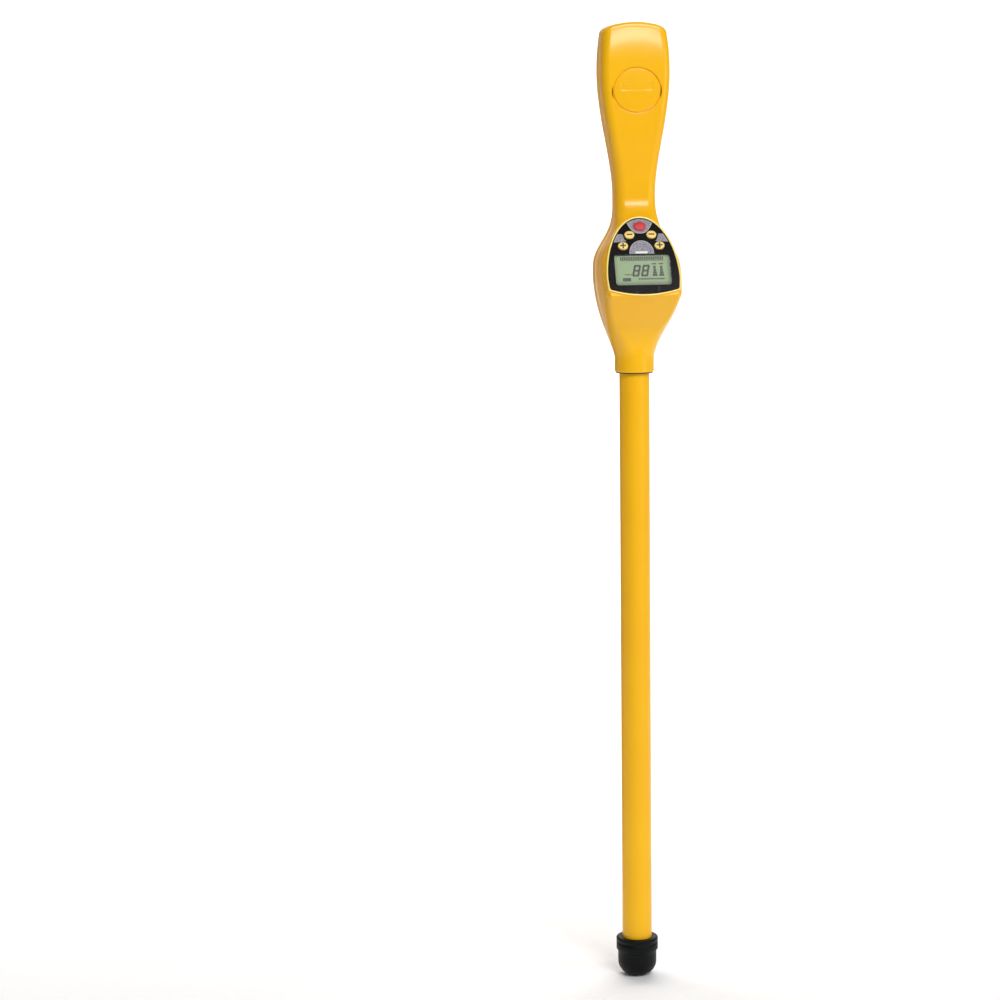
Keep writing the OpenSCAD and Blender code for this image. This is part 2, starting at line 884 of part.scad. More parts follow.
basket_y = ring_y + ring_t + 0.1;
module speaker_basket() {
    color("#55585c") translate([0, basket_y, speaker_z])
        rotate([-90, 0, 0])
            difference() {
                rotate_extrude($fn = 96)
                    polygon([[basket_r - 3, 0], [basket_r, 0],
                        [basket_r, 1], [basket_r - 3, 1.2],
                        [12.5, 8], [12.5, 9.2], [8, 9.2], [8, 8],
                        [11.5, 7]]);
                for (turn = [0 : 60 : 300])
                    rotate(turn)
                        translate([13.5, -3, 1.6])
                            cube([7, 6, 9]);
            }
}

module speaker_cone() {
    color("#2b2b2d") translate([0, basket_y, speaker_z])
        rotate([-90, 0, 0])
            rotate_extrude($fn = 96)
                polygon([[basket_r - 3.5, 0], [basket_r - 4, 0.5],
                    [7.2, 5.2], [0, 3.4], [0, 2.9], [7.2, 4.6],
                    [basket_r - 4.2, 0]]);
}

module speaker_magnet() {
    color("#303033") translate([0, basket_y + 9.3, speaker_z])
        rotate([-90, 0, 0])
            cylinder(h = magnet_t, r = magnet_r, $fn = 96);
}

module speaker_leads() {
    color("#b33a32") for (side = [-1, 1])
        wire([socket_mouth(0, 0.02, side * 2),
            socket_mouth(0, 4, side * 2),
            [side * 4, -7, mid_fix_z - 34],
            [side * 6.5, -1, mid_fix_z - 12],
            [side * 6.5, 0, mid_fix_z + 16],
            [side * 3, basket_y + 18, speaker_z - 24],
            [side * 3, basket_y + 17.6, speaker_z - 6],
            [side * 3, basket_y + 16.8, speaker_z - 4],
            [side * 3, basket_y + 14.35, speaker_z - 4]], 0.8);
}

// ---------- battery bay ----------

module battery_holder() {
    w = 2 * (bay_half + holder_t);
    h = bay_h + 2 * holder_t;
    y1 = land_y - 3.7;
    z0 = bay_z0 - holder_t;
    color("#3b3d40") difference() {
        translate([-w / 2, cell_y0 - holder_t - 0.2, z0])
            cube([w, y1 - cell_y0 + holder_t + 0.2, h]);
        translate([-bay_half, cell_y0 - 0.2, bay_z0])
            cube([2 * bay_half, 60, bay_h]);
        translate([-4, cell_y0 - 4, bay_z0 + bay_h - 4])
            cube([8, 8, 8]);
    }
}

module batteries() {
    color("#2f3f5f") for (side = [-1, 1])
        translate([side * (cell_w + cell_gap / 2) / 2, cell_y0, 0]) {
            translate([-cell_w / 2, 0, bay_z0 + 0.3])
                cube([cell_w, cell_t, cell_l]);
            for (y = [0.25, 0.75])
                translate([0, cell_t * y, bay_z0 + 0.3 + cell_l])
                    cylinder(h = 2, r = 3.2, $fn = fine);
        }
}

module battery_contacts() {
    z = bay_z0 + cell_l + 2.4;
    color("#cfcabd") for (side = [-1, 1])
        translate([side * (cell_w + cell_gap / 2) / 2, cell_y0, z])
            translate([-cell_w / 2 + 0.5, 1, 0])
                cube([cell_w - 1, cell_t - 2, 2.4]);
}

module battery_leads() {
    z = bay_z0 + bay_h - 2;
    color("#23262b") for (side = [-1, 1])
        wire([[side * 2, cell_y0 + 0.9, z],
            [side * 2, cell_y0 - 6, z],
            socket_mouth(1, 5, side * 2),
            socket_mouth(1, 0.02, side * 2)], 0.8);
}

module battery_door() {
    color("#fab719") difference() {
        union() {
            translate([0, pad_y, (door_z0 + door_z1) / 2])
                rotate([90, 0, 0])
                    round_slab(2 * door_half, door_z1 - door_z0, 2,
                        door_t);
            translate([-knuckle_half, door_y0, hinge_z])
                cube([2 * knuckle_half, door_t, 6]);
            translate([-knuckle_half, hinge_y, hinge_z])
                rotate([0, 90, 0])
                    cylinder(h = 2 * knuckle_half, r = knuckle_r,
                        $fn = fine);
        }
        translate([-knuckle_half - 1, hinge_y, hinge_z])
            rotate([0, 90, 0])
                cylinder(h = 2 * knuckle_half + 2, r = pin_d / 2 + pin_gap,
                    $fn = fine);
        translate([0, 0, latch_z])
            along_y(door_y0 - 1, stud_r + pin_gap, 8);
    }
}

module door_seal() {
    color("#262626") door_frame(0, land_y - 0.9, 0.9);
}

module door_hinge_pin() {
    color("#b9bcbe") translate([-pin_half, hinge_y, hinge_z])
        rotate([0, 90, 0])
            cylinder(h = 2 * pin_half, r = pin_d / 2, $fn = fine);
}

module door_latch() {
    color("#24201f") translate([0, 0, latch_z]) difference() {
        union() {
            along_y(door_y0 - stud_reach, stud_r,
                door_t + stud_reach + 0.2);
            along_y(pad_y + 0.1, 5, 1.6);
        }
        translate([-6, pad_y + 0.9, -0.7])
            cube([12, 3, 1.4]);
        translate([0, door_y0 - 1.2, 0])
            rotate([-90, 0, 0])
                difference() {
                    cylinder(h = 0.8, r = 3, $fn = fine);
                    translate([0, 0, -1])
                        cylinder(h = 3, r = stud_r - 0.5, $fn = fine);
                }
    }
}

module latch_clip() {
    color("#b9bcbe") translate([0, door_y0 - 1.15, latch_z])
        rotate([-90, 0, 0])
            difference() {
                cylinder(h = 0.7, r = 3.3, $fn = fine);
                translate([0, 0, -1])
                    cylinder(h = 3, r = stud_r - 0.45, $fn = fine);
                translate([-1, 0, -1])
                    cube([2, 5, 3]);
            }
}

// ---------- sensing tube ----------

module sensor_tube() {
    color("#fabb18") translate([0, 0, tube_z0]) difference() {
        cylinder(h = tube_z1 - tube_z0, r = tube_r, $fn = 96);
        translate([0, 0, -1])
            cylinder(h = tube_z1 - tube_z0 + 2, r = tube_in, $fn = 96);
    }
}

module tube_seal() {
    color("#262626") translate([0, 0, cord_z])
        rotate_extrude($fn = 96)
            translate([tube_r + cord_r + 0.03, 0])
                circle(cord_r, $fn = 32);
}

module tube_retainer() {
    color("#3b3d40") translate([0, 0, retainer_z + fit_gap])
        difference() {
            cylinder(h = retainer_t, r = tube_r + retainer_out, $fn = 96);
            translate([0, 0, -1])
                cylinder(h = retainer_t + 2, r = tube_r + 0.02, $fn = 96);
        }
}

module tube_connector() {
    color("#e9e6dc") {
        translate([0, 0, tube_z1 - plug_in])
            cylinder(h = plug_in + 1, r = tube_in - fit_gap, $fn = 96);
        translate([0, 0, tube_z1])
            cylinder(h = 2.5, r = tube_r - 0.3, $fn = 96);
        translate([-8, -4, tube_z1 + 2.4])
            cube([16, 8, 7]);
    }
}

rail_z0 = 34;
rail_z1 = tube_z1 - plug_in - 1;
module sensor_rail() {
    color("#d9c9a0") translate([-rail_w / 2, 0, rail_z0])
        cube([rail_w, rail_t, rail_z1 - rail_z0]);
}

// Sensing coil on its bobbin, seated on the rail's front
module sensor(z) {
    translate([-5, -9, z]) {
        cube([10, 9 - fit_gap, 2]);
        translate([0, 0, sensor_l - 2])
            cube([10, 9 - fit_gap, 2]);
        translate([5, 4.5, 1.9])
            cylinder(h = sensor_l - 3.8, r = 3.6, $fn = fine);
    }
}

module upper_sensor() {
    color("#b5733a") sensor(upper_z);
}

module lower_sensor() {
    color("#b5733a") sensor(lower_z);
}

disc_heights = [for (i = [0 : 4])
    mix(lower_z + sensor_l + 24, rail_z1 - 22, i / 4)];
module centring_discs() {
    color("#595b5e") difference() {
        for (z = disc_heights)
            translate([0, 0, z])
                cylinder(h = 10, r = tube_in - 0.2, $fn = fine);
        translate([-rail_w / 2 - 0.1, -0.1, rail_z0])
            cube([rail_w + 0.2, rail_t + 0.2, rail_z1]);
        translate([-7.5, -10, rail_z0])
            cube([15, 10, rail_z1]);
    }
}

module sensor_leads() {
    top = tube_z1 - plug_in;
    color("#2e5fa3") {
        for (side = [-1, 1]) {
            wire([[side * 2, -1.4, lower_z + sensor_l],
                [side * 2, -1.4, upper_z - 8],
                [side * 6, -1.4, upper_z],
                [side * 6, -1.4, top]], lead_r);
            wire([[side * 2, -1.4, upper_z + sensor_l],
                [side * 2, -1.4, top]], lead_r);
            wire([[side * 5, 0, tube_z1 + 9.42],
                [side * 5, 0, tube_z1 + 13],
                socket_mouth(2, 6, side * 4),
                socket_mouth(2, 0.02, side * 4)], lead_r);
        }
    }
}

module tip_plug() {
    color("#3b3d40") {
        translate([0, 0, tube_z0 + 0.1])
            cylinder(h = 24, r = tube_in - fit_gap, $fn = 96);
    }
}

// Cap over the tube's end, with a stiffer band at its mouth
module tip_cap() {
    r = cap_d / 2;
    color("#15191a") difference() {
        rotate_extrude($fn = 96) {
            difference() {
                union() {
                    square([r - cap_round, cap_h - 1]);
                    translate([0, cap_round])
                        square([r, cap_h - 1 - cap_round]);
                    translate([r - cap_round, cap_round])
                        circle(cap_round, $fn = 96);
                    translate([0, cap_h - band_h])
                        polygon([[0, 0], [r, 0],
                            [r + band_out, 1], [r + band_out,
                            band_h - 1.2], [r + band_out - 1.2, band_h],
                            [0, band_h]]);
                }
                translate([-r - 5, -1])
                    square([r + 5, cap_h + 2]);
            }
        }
        translate([0, 0, tube_z0])
            cylinder(h = cap_h, r = bore_r, $fn = 96);
    }
}

front_shell();
rear_shell();
parting_seal();
shell_screws();
collar_gasket();
control_panel();
display_window();
lcd_frame();
lcd_glass();
backlight();
power_button();
volume_down_button();
volume_up_button();
sensitivity_down_button();
sensitivity_up_button();
key_mat();
main_board();
key_switches();
board_screws();
board_chips();
board_sockets();
speaker_cover();
speaker_ring();
speaker_basket();
speaker_cone();
speaker_magnet();
speaker_leads();
battery_holder();
batteries();
battery_contacts();
battery_leads();
battery_door();
door_seal();
door_hinge_pin();
door_latch();
latch_clip();
sensor_tube();
tube_seal();
tube_retainer();
tube_connector();
sensor_rail();
upper_sensor();
lower_sensor();
centring_discs();
sensor_leads();
tip_plug();
tip_cap();
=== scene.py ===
import bpy
import numpy as np
from mathutils import Matrix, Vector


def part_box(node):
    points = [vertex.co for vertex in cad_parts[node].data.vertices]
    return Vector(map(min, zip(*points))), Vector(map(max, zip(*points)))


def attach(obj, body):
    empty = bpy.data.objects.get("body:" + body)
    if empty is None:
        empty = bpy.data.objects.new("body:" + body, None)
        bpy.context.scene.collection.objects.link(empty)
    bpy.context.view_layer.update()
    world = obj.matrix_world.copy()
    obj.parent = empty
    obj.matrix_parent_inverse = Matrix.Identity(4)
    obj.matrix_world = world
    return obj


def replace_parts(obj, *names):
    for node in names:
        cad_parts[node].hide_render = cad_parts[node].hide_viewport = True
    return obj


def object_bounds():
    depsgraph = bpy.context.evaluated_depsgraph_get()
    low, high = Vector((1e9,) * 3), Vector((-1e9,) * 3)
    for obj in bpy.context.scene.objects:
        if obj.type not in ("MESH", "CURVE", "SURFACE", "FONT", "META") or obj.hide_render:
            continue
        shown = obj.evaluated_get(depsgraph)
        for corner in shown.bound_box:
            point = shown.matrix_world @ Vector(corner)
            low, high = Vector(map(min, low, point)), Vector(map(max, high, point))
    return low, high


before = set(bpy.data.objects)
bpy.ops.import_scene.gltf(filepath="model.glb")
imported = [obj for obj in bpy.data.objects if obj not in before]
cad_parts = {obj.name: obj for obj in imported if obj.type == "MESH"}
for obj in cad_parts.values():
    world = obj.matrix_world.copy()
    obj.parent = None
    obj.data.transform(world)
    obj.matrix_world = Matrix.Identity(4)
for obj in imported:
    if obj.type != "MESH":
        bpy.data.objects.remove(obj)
cad_low, cad_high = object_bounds()

# ---- Camera: stands a little to the display's left and looks slightly down,
# from about three metres, with the wand right of the middle of the frame.
view_turn, view_pan, view_pitch, view_roll = np.radians([-10.0, 2.787, 7.95, -0.67])
view_reach, view_height, view_lens = 3.10, 0.9803, 100.8
camera_data = bpy.data.cameras.new("view_camera")
camera_data.lens = view_lens
camera_data.sensor_width = 36.0
camera = bpy.data.objects.new("view_camera", camera_data)
bpy.context.scene.collection.objects.link(camera)
camera.location = (view_reach * np.sin(view_turn), -view_reach * np.cos(view_turn), view_height)


def turn_about(axis, angle):
    """A 3 x 3 turn by angle about one coordinate axis, by the usual cosine and sine rule."""
    c, s = np.cos(angle), np.sin(angle)
    i, j = [(1, 2), (2, 0), (0, 1)][axis]
    m = np.eye(3)
    m[i, i], m[i, j], m[j, i], m[j, j] = c, -s, s, c
    return m


view_frame = np.eye(4)
view_frame[:3, :3] = (turn_about(2, view_turn + view_pan) @ turn_about(0, np.pi / 2 - view_pitch)
                      @ turn_about(2, view_roll))
view_frame[:3, 3] = camera.location
camera.matrix_world = Matrix(view_frame.tolist())
bpy.context.scene.camera = camera


# ---- Sensing tube: one straight pipe of yellow ABS, a satin extrusion that is
# pushed up into the collar and down into the tip cap.
def part_mesh(name, grid, ring=False, lid=(False, False), keep=None):
    """Makes a smooth piece from a grid of points in millimetres: rows of points joined by quads,
    each row closed on itself where ring is set and filled by a fan at its middle where lid is set.
    Faces outside keep are left out, and all are turned to face away from the piece's middle."""
    rows, columns = grid.shape[:2]
    index = np.arange(rows * columns).reshape(rows, columns)
    if ring:
        index = np.concatenate([index, index[:, :1]], axis=1)
    quads = np.stack([index[:-1, :-1], index[:-1, 1:], index[1:, 1:], index[1:, :-1]], axis=-1)
    if keep is not None:
        quads = quads[keep]
    quads = quads.reshape(-1, 4)
    points = grid.reshape(-1, 3)
    fans = []
    for wanted, row in zip(lid, (0, -1)):
        if wanted:
            hub = len(points)
            points = np.concatenate([points, grid[row].mean(axis=0)[None]])
            edge = index[row]
            fan = np.stack([edge[1:], edge[:-1], np.full(len(edge) - 1, hub)], axis=-1)
            fans.append(fan if row == 0 else fan[:, ::-1])
    corners = points[quads]
    middle = corners.mean(axis=1)
    across = np.cross(corners[:, 2] - corners[:, 0], corners[:, 3] - corners[:, 1])
    if np.sum((middle - points.mean(axis=0)) * across) < 0:
        quads = quads[:, ::-1]
        fans = [fan[:, ::-1] for fan in fans]
    mesh = bpy.data.meshes.new(name)
    faces = quads.tolist() + [face for fan in fans for face in fan.tolist()]
    mesh.from_pydata((points * 0.001).tolist(), [], faces)
    mesh.shade_smooth()
    piece = bpy.data.objects.new(name, mesh)
    bpy.context.scene.collection.objects.link(piece)
    return piece


def turned(profile, steps=128):
    """Points of a profile [radius, height] carried once round the Z axis."""
    profile = np.asarray(profile, float)
    t = np.linspace(0, 2 * np.pi, steps, endpoint=False)
    return np.stack([profile[:, :1] * np.cos(t), profile[:, :1] * np.sin(t),
                     np.repeat(profile[:, 1:], steps, axis=1)], axis=-1)


class Value:
    """One node's output.  Sums, products and powers with numbers or other outputs add Math nodes."""

    def __init__(self, finish, socket):
        self.finish, self.socket = finish, socket

    def maths(self, kind, first, second):
        return self.finish.node("ShaderNodeMath", dict(operation=kind), {0: first, 1: second})

    def __add__(self, other): return self.maths("ADD", self, other)
    def __radd__(self, other): return self.maths("ADD", other, self)
    def __sub__(self, other): return self.maths("SUBTRACT", self, other)
    def __rsub__(self, other): return self.maths("SUBTRACT", other, self)
    def __mul__(self, other): return self.maths("MULTIPLY", self, other)
    def __rmul__(self, other): return self.maths("MULTIPLY", other, self)
    def __truediv__(self, other): return self.maths("DIVIDE", self, other)
    def __rtruediv__(self, other): return self.maths("DIVIDE", other, self)
    def __pow__(self, other): return self.maths("POWER", self, other)


def tint(red, green, blue):
    """Linear colour of an sRGB one given in 0 to 255: (v / 255) to the 2.2 power, near enough."""
    return tuple((v / 255) ** 2.2 for v in (red, green, blue)) + (1.0,)


class Finish:
    """A material: a Principled shader, the nodes that feed it and the object's own coordinates."""

    def __init__(self, name, **inputs):
        self.material = bpy.data.materials.new(name)
        self.material.use_nodes = True
        self.tree = self.material.node_tree
        self.shader = self.tree.nodes["Principled BSDF"]
        self.place = self.node("ShaderNodeTexCoord", {}, {}, "Object")
        self.feed(self.shader, {k.replace("_", " "): v for k, v in inputs.items()})

    def feed(self, node, inputs):
        for key, value in inputs.items():
            if isinstance(value, Value):
                self.tree.links.new(value.socket, node.inputs[key])
            else:
                node.inputs[key].default_value = value

    def node(self, kind, settings, inputs, output=0):
        made = self.tree.nodes.new(kind)
        for key, value in settings.items():
            setattr(made, key, value)
        self.feed(made, inputs)
        return Value(self, made.outputs[output])

    def noise(self, scale, detail=2.0, stretch=None):
        """Noise from 0 to 1 in object space, at scale lumps a metre, drawn out where stretch is set."""
        place = self.place
        if stretch:
            place = self.node("ShaderNodeMapping", {}, {"Vector": place, "Scale": stretch})
        return self.node("ShaderNodeTexNoise", {}, {"Vector": place, "Scale": scale, "Detail": detail})

    def between(self, low, high, amount):
        """A colour mixed from low to high by amount."""
        return self.node("ShaderNodeMix", dict(data_type="RGBA"), {0: amount, 6: low, 7: high}, 2)

    def step(self, value, start, stop):
        """0 below start and 1 above stop, with a straight rise between."""
        return self.node("ShaderNodeMapRange", {}, {"Value": value, "From Min": start, "From Max": stop})

    def relief(self, height, strength, depth):
        self.feed(self.shader, {"Normal": self.node("ShaderNodeBump", {},
                                {"Height": height, "Strength": strength, "Distance": depth})})

    def on(self, *pieces):
        for piece in pieces:
            piece.data.materials.clear()
            piece.data.materials.append(self.material)
        return self


def moulded(name, base, shade, rough, grain=0.25, coat=0.0, scuff=0.25, **inputs):
    """Moulded plastic: slow drift of colour from base to shade, a fine spark-eroded grain,
    uneven gloss, and a few thin rub marks where the noise peaks."""
    f = Finish(name, Coat_Weight=coat, **inputs)
    drift = f.noise(9, 3)
    grit = f.noise(1500, 2)
    rub = f.step(f.noise(60, 4, (1, 1, 0.12)), 0.62, 0.8)
    f.feed(f.shader, {
        "Base Color": f.between(base, shade, f.step(drift, 0.3, 0.72)),
        "Roughness": (drift - 0.5) * 0.12 + rub * scuff * 0.35 + rough + (grit - 0.5) * 0.06})
    f.relief(grit + rub * 0.4, grain, 0.00012)
    return f


yellow = tint(252, 190, 2)
yellow_shade = tint(249, 181, 1)
tube_low, tube_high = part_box("sensor_tube")
tube_r = 1000 * tube_high.x
tube_foot, tube_head = 1000 * tube_low.z, 1000 * tube_high.z
tube_heights = np.concatenate([[tube_foot], np.linspace(tube_foot + 1, tube_head, 90)])
tube_profile = np.stack([np.full(len(tube_heights), tube_r), tube_heights], axis=1)
tube_skin = part_mesh("tube_skin", turned(tube_profile), ring=True)
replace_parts(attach(tube_skin, "wand"), "sensor_tube")
moulded("tube_plastic", yellow, yellow_shade, 0.36, grain=0.12, Specular_IOR_Level=0.35).on(tube_skin)

# ---- Tip cap: soft black elastomer over the tube's end, with a stiffer ribbed
# band round its mouth; it is a push fit and wears first at its rounded foot.
cap_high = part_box("tip_cap")[1]
band_r = 1000 * cap_high.x
cap_h = 1000 * cap_high.z
band_out, band_h, foot_round = 1.8, 15.0, 16.0
cap_r, band_z = band_r - band_out, cap_h - band_h
foot_t = np.linspace(0, np.pi / 2, 22)
cap_profile = ([[0.4, 0.0], [3.0, 0.0]]
               + [[cap_r - foot_round + foot_round * np.sin(t), foot_round - foot_round * np.cos(t)]
                  for t in foot_t]
               + [[cap_r, 20], [cap_r, 24], [cap_r, band_z - 0.4], [cap_r + 0.15, band_z - 0.1],
                  [band_r - 0.7, band_z + 0.2], [band_r - 0.2, band_z + 0.5],
                  [band_r, band_z + 1.1], [band_r, cap_h - 6.6], [band_r - 0.35, cap_h - 6.2],
                  [band_r - 0.35, cap_h - 5.6], [band_r, cap_h - 5.2], [band_r, cap_h - 1.6],
                  [band_r - 0.3, cap_h - 0.8], [band_r - 0.9, cap_h - 0.25], [band_r - 1.6, cap_h],
                  [tube_r + 1.0, cap_h], [tube_r + 0.3, cap_h - 0.3], [tube_r + 0.06, cap_h - 1.2],
                  [tube_r + 0.06, cap_h - 8]])
cap_skin = part_mesh("cap_skin", turned(cap_profile), ring=True, lid=(True, False))
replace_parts(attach(cap_skin, "wand"), "tip_cap")
cap_rubber = Finish("cap_rubber", Specular_IOR_Level=0.18)
cap_grit = cap_rubber.noise(1100, 3)
cap_dust = cap_rubber.noise(45, 5)
cap_height = cap_rubber.node("ShaderNodeSeparateXYZ", {}, {0: cap_rubber.place}, 2)
cap_wear = cap_rubber.step(cap_height, 0.012, 0.0) * cap_rubber.step(cap_dust, 0.4, 0.7)
cap_rubber.feed(cap_rubber.shader, {
    "Base Color": cap_rubber.between(tint(4, 11, 11), tint(24, 31, 31),
                                     cap_wear * 0.7 + cap_rubber.step(cap_dust, 0.55, 0.9) * 0.2),
    "Roughness": 0.42 + cap_grit * 0.12 + cap_wear * 0.25})
cap_rubber.relief(cap_grit, 0.22, 0.0002)
cap_rubber.on(cap_skin)

# ---- Head: two glossy injection-moulded ABS shells that meet on the plane of the
# tube's axis; their outline swells round the display, narrows to the hand grip
# and widens again to the flat-faced bulb with the speaker.
collar_z = 1000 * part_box("collar_gasket")[0].z + 1.2
crown_z = 1000 * cad_high.z
hip_z, knee_z, chin_z, widest_z = collar_z + np.array([16, 38, 89, 111.0])
brow_z, neck_z, grip_z = collar_z + np.array([170, 187, 193.0])
collar_r, head_half, chin_reach, head_back = 21.7, 43.9, 71.5, 24.5
collar_corner = collar_r - 0.6
swell_power, knee_half, face_seat = 0.69, 14, 1.5
hip_run, waist_run, back_run, back_brow_z = 52, 62, 40, brow_z - 24
grip_half, grip_deep, bulb_half, bulb_front = 22.3, 19.0, 37.9, 24.5
crown_r, crown_arc, crown_taper, crown_tilt = 6.0, 95.0, 2.1, 6.0
cover_r, sound_gap = 25.3, 1.5
crown_sag = crown_arc - np.sqrt(crown_arc ** 2 - (bulb_half - 3) ** 2)
shoulder_z = crown_z - crown_sag - crown_r
speaker_z, bulb_z, lean_z = shoulder_z - 61, shoulder_z - 41, shoulder_z - 33
face_z = speaker_z - cover_r - sound_gap - 4.6
panel_lean = np.radians(25.5)


def ease(t):
    """Smooth rise from 0 to 1: three t squared less two t cubed."""
    t = np.clip(t, 0, 1)
    return t * t * (3 - 2 * t)


def swift(t):
    """Smoother rise from 0 to 1: six t to the fifth less fifteen t to the fourth and ten t cubed."""
    t = np.clip(t, 0, 1)
    return t ** 3 * (t * (t * 6 - 15) + 10)


def blend(a, b, t):
    """The value a share t of the way from a to b: a + (b - a) t."""
    return a + (b - a) * t


def half_width(z):
    """Collar, a swell to the display, a waist at the grip, a swell to the bulb, a slight taper above."""
    swell = blend(collar_r, head_half, ease(np.clip((z - hip_z) / (widest_z - hip_z), 0, 1) ** swell_power))
    t = np.clip((z - widest_z) / (neck_z - widest_z), 0, 1)
    waist = blend(head_half, grip_half, swift(t + 0.5 * t * t * (1 - t)))
    bulb = blend(grip_half, bulb_half, ease((z - grip_z) / (bulb_z - grip_z)))
    crown = bulb_half - crown_taper * ((z - bulb_z) / (shoulder_z - bulb_z)) ** 2
    return np.select([z < widest_z, z < neck_z, z < bulb_z], [swell, waist, bulb], crown)


def crown_lean(z):
    """Lean of the bulb's faces towards the crown: crown_tilt times the square of the share climbed."""
    return crown_tilt * np.clip((z - lean_z) / (shoulder_z - lean_z), 0, None) ** 2


def bulb_depth(z):
    """Half depth of grip and bulb: eased from grip_deep to bulb_front, less the crown's lean."""
    return blend(grip_deep, bulb_front, ease((z - grip_z) / (face_z - grip_z))) - crown_lean(z)


def front_reach(z):
    """A slope out under the chin, the leaning display plane, then a hollow curve back to the grip."""
    s = z - knee_z
    knee = np.where(s < -knee_half, 0, np.where(s > knee_half, s, (s + knee_half) ** 2 / (4 * knee_half)))
    under = collar_r + (chin_reach - collar_r) / (chin_z - knee_z) * knee
    plane = chin_reach - face_seat + (chin_z - z) * np.tan(panel_lean)
    brow = chin_reach - face_seat + (chin_z - brow_z) * np.tan(panel_lean)
    hollow = blend(grip_deep, brow, np.clip(1 - (z - brow_z) / (grip_z - brow_z), 0, 1) ** 2)
    return np.select([z < brow_z, z < grip_z], [np.minimum(under, plane), hollow], bulb_depth(z))


def back_reach(z):
    """The flat back: eased from collar_r out to head_back, in to grip_deep, then the bulb's depth."""
    low = blend(collar_r, head_back, ease((z - hip_z - 4) / back_run))
    waist = blend(head_back, grip_deep, ease((z - back_brow_z) / (neck_z - back_brow_z)))
    return np.select([z < back_brow_z, z < neck_z], [low, waist], bulb_depth(z))


def corner(z, low, head, grip, bulb):
    """Corner size of the section, which changes smoothly from collar to head, grip and bulb."""
    return np.select([z < widest_z, z < grip_z],
                     [blend(low, head, ease((z - hip_z) / hip_run)),
                      blend(head, grip, ease((z - widest_z) / waist_run))],
                     blend(grip, bulb, ease((z - grip_z) / (face_z - grip_z))))


def arch(x, z):
    """Rise of the crown's arc over a point x from the middle, which fades in above the bulb."""
    sag = crown_sag - crown_arc + np.sqrt(crown_arc ** 2 - x * x)
    return ease((z - bulb_z) / (shoulder_z - bulb_z)) * sag


def shell_grid(front):
    """Half of the head as rows up the axis.  Each row runs from the right parting edge round a rounded
    corner, across the flat face and round the other corner; the top rows roll over the crown."""
    roll = np.linspace(0, np.pi / 2, 10)[1:]
    shut = np.array([0.75, 0.5, 0.25, 0.06, 0.02, 0.0])
    rolled = np.concatenate([roll, np.full(len(shut), np.pi / 2)])
    n_top = len(rolled)
    z = np.concatenate([[collar_z] * 4, np.arange(collar_z + 1.5, shoulder_z, 1.4),
                        [shoulder_z] * (1 + n_top)])
    inset, rise, close = np.zeros(len(z)), np.zeros(len(z)), np.ones(len(z))
    inset[:4], rise[:4] = [4.6, 0.9, 0.25, 0.0], [0.0, 0.0, 0.25, 0.9]
    inset[-n_top:], rise[-n_top:] = crown_r * (1 - np.cos(rolled)), crown_r * np.sin(rolled)
    close[-len(shut):] = shut
    rise[-1] -= 0.4
    a = half_width(z)[:, None]
    if front:
        deep = front_reach(z)[:, None]
        rx = corner(z, collar_corner, 6, 11, 9)[:, None]
        ry = corner(z, collar_corner, 14, 10, 9)[:, None]
    else:
        deep = back_reach(z)[:, None]
        rx = ry = corner(z, collar_corner, 12, 11, 9)[:, None]
    t = np.linspace(0, np.pi / 2, 15)[None]
    side = np.linspace(0, 1, 7)[None, :-1]
    side_x, side_y = a + 0 * side, (deep - ry) * side
    side_x[:, 0] -= 0.4
    side_y[:, 1] = np.minimum(side_y[:, 1], 0.4)
    x = np.concatenate([side_x, a - rx + rx * np.cos(t)], axis=1)
    y = np.concatenate([side_y, deep - ry + ry * np.sin(t)], axis=1)
    flat = np.linspace(1, -1, 41)[None, 1:-1]
    x = np.concatenate([x, (a - rx) * flat, -x[:, ::-1]], axis=1)
    y = np.concatenate([y, deep + 0 * flat, y[:, ::-1]], axis=1)
    scale = 1 - inset[:, None] / a
    x, y = x * scale, y * scale * close[:, None] * (-1 if front else 1)
    return np.stack([x, y, z[:, None] + rise[:, None] + arch(x, z[:, None])], axis=-1)


def cell_middles(grid):
    """Mean of the four corners of every cell of a grid."""
    return (grid[:-1, :-1] + grid[1:, :-1] + grid[1:, 1:] + grid[:-1, 1:]) / 4


panel_up = np.array([0, np.sin(panel_lean), np.cos(panel_lean)])
panel_out = np.array([0, -np.cos(panel_lean), np.sin(panel_lean)])
panel_start = 1.2
panel_home = np.array([0, -chin_reach, chin_z]) + panel_start * panel_up
panel_half, panel_l, arch_v, foot_arc = 39.0, 89.0, 18.0, 124.0


def on_panel(u, v, w):
    """Wand coordinates of a point u across, v up and w out of the control panel's face."""
    u, v, w = np.broadcast_arrays(u, v, w)
    start = np.stack([u, 0 * u, 0 * u], axis=-1) + panel_home
    return start + v[..., None] * panel_up + w[..., None] * panel_out


def foot_v(u, g):
    """Height of the panel's foot over u, grown by g: v = foot_arc - g - sqrt(foot_arc^2 - u^2)."""
    return foot_arc - g - np.sqrt(foot_arc ** 2 - np.asarray(u) ** 2)


def panel_outline(g):
    """The panel's outline grown by g: half an ellipse over two short sides, two corners and a shallow arc."""
    t = np.linspace(0, np.pi, 161)
    top = np.stack([(panel_half + g) * np.cos(t), arch_v + (panel_l - arch_v + g) * np.sin(t)], axis=1)
    edge, r = panel_half + g - 1, 3.0
    base = foot_v(edge - r, g)
    q = np.linspace(np.pi, 1.5 * np.pi, 10)
    left = np.stack([-edge + r + r * np.cos(q), base + r + r * np.sin(q)], axis=1)
    side = blend(top[-1], left[0], np.linspace(0, 1, 8)[1:-1, None])
    u = np.linspace(-(edge - r), edge - r, 41)[1:-1]
    foot = np.stack([u, foot_v(u, g)], axis=1)
    flip = np.array([-1, 1])
    return np.concatenate([top, side, left, foot, left[::-1] * flip, side[::-1] * flip])


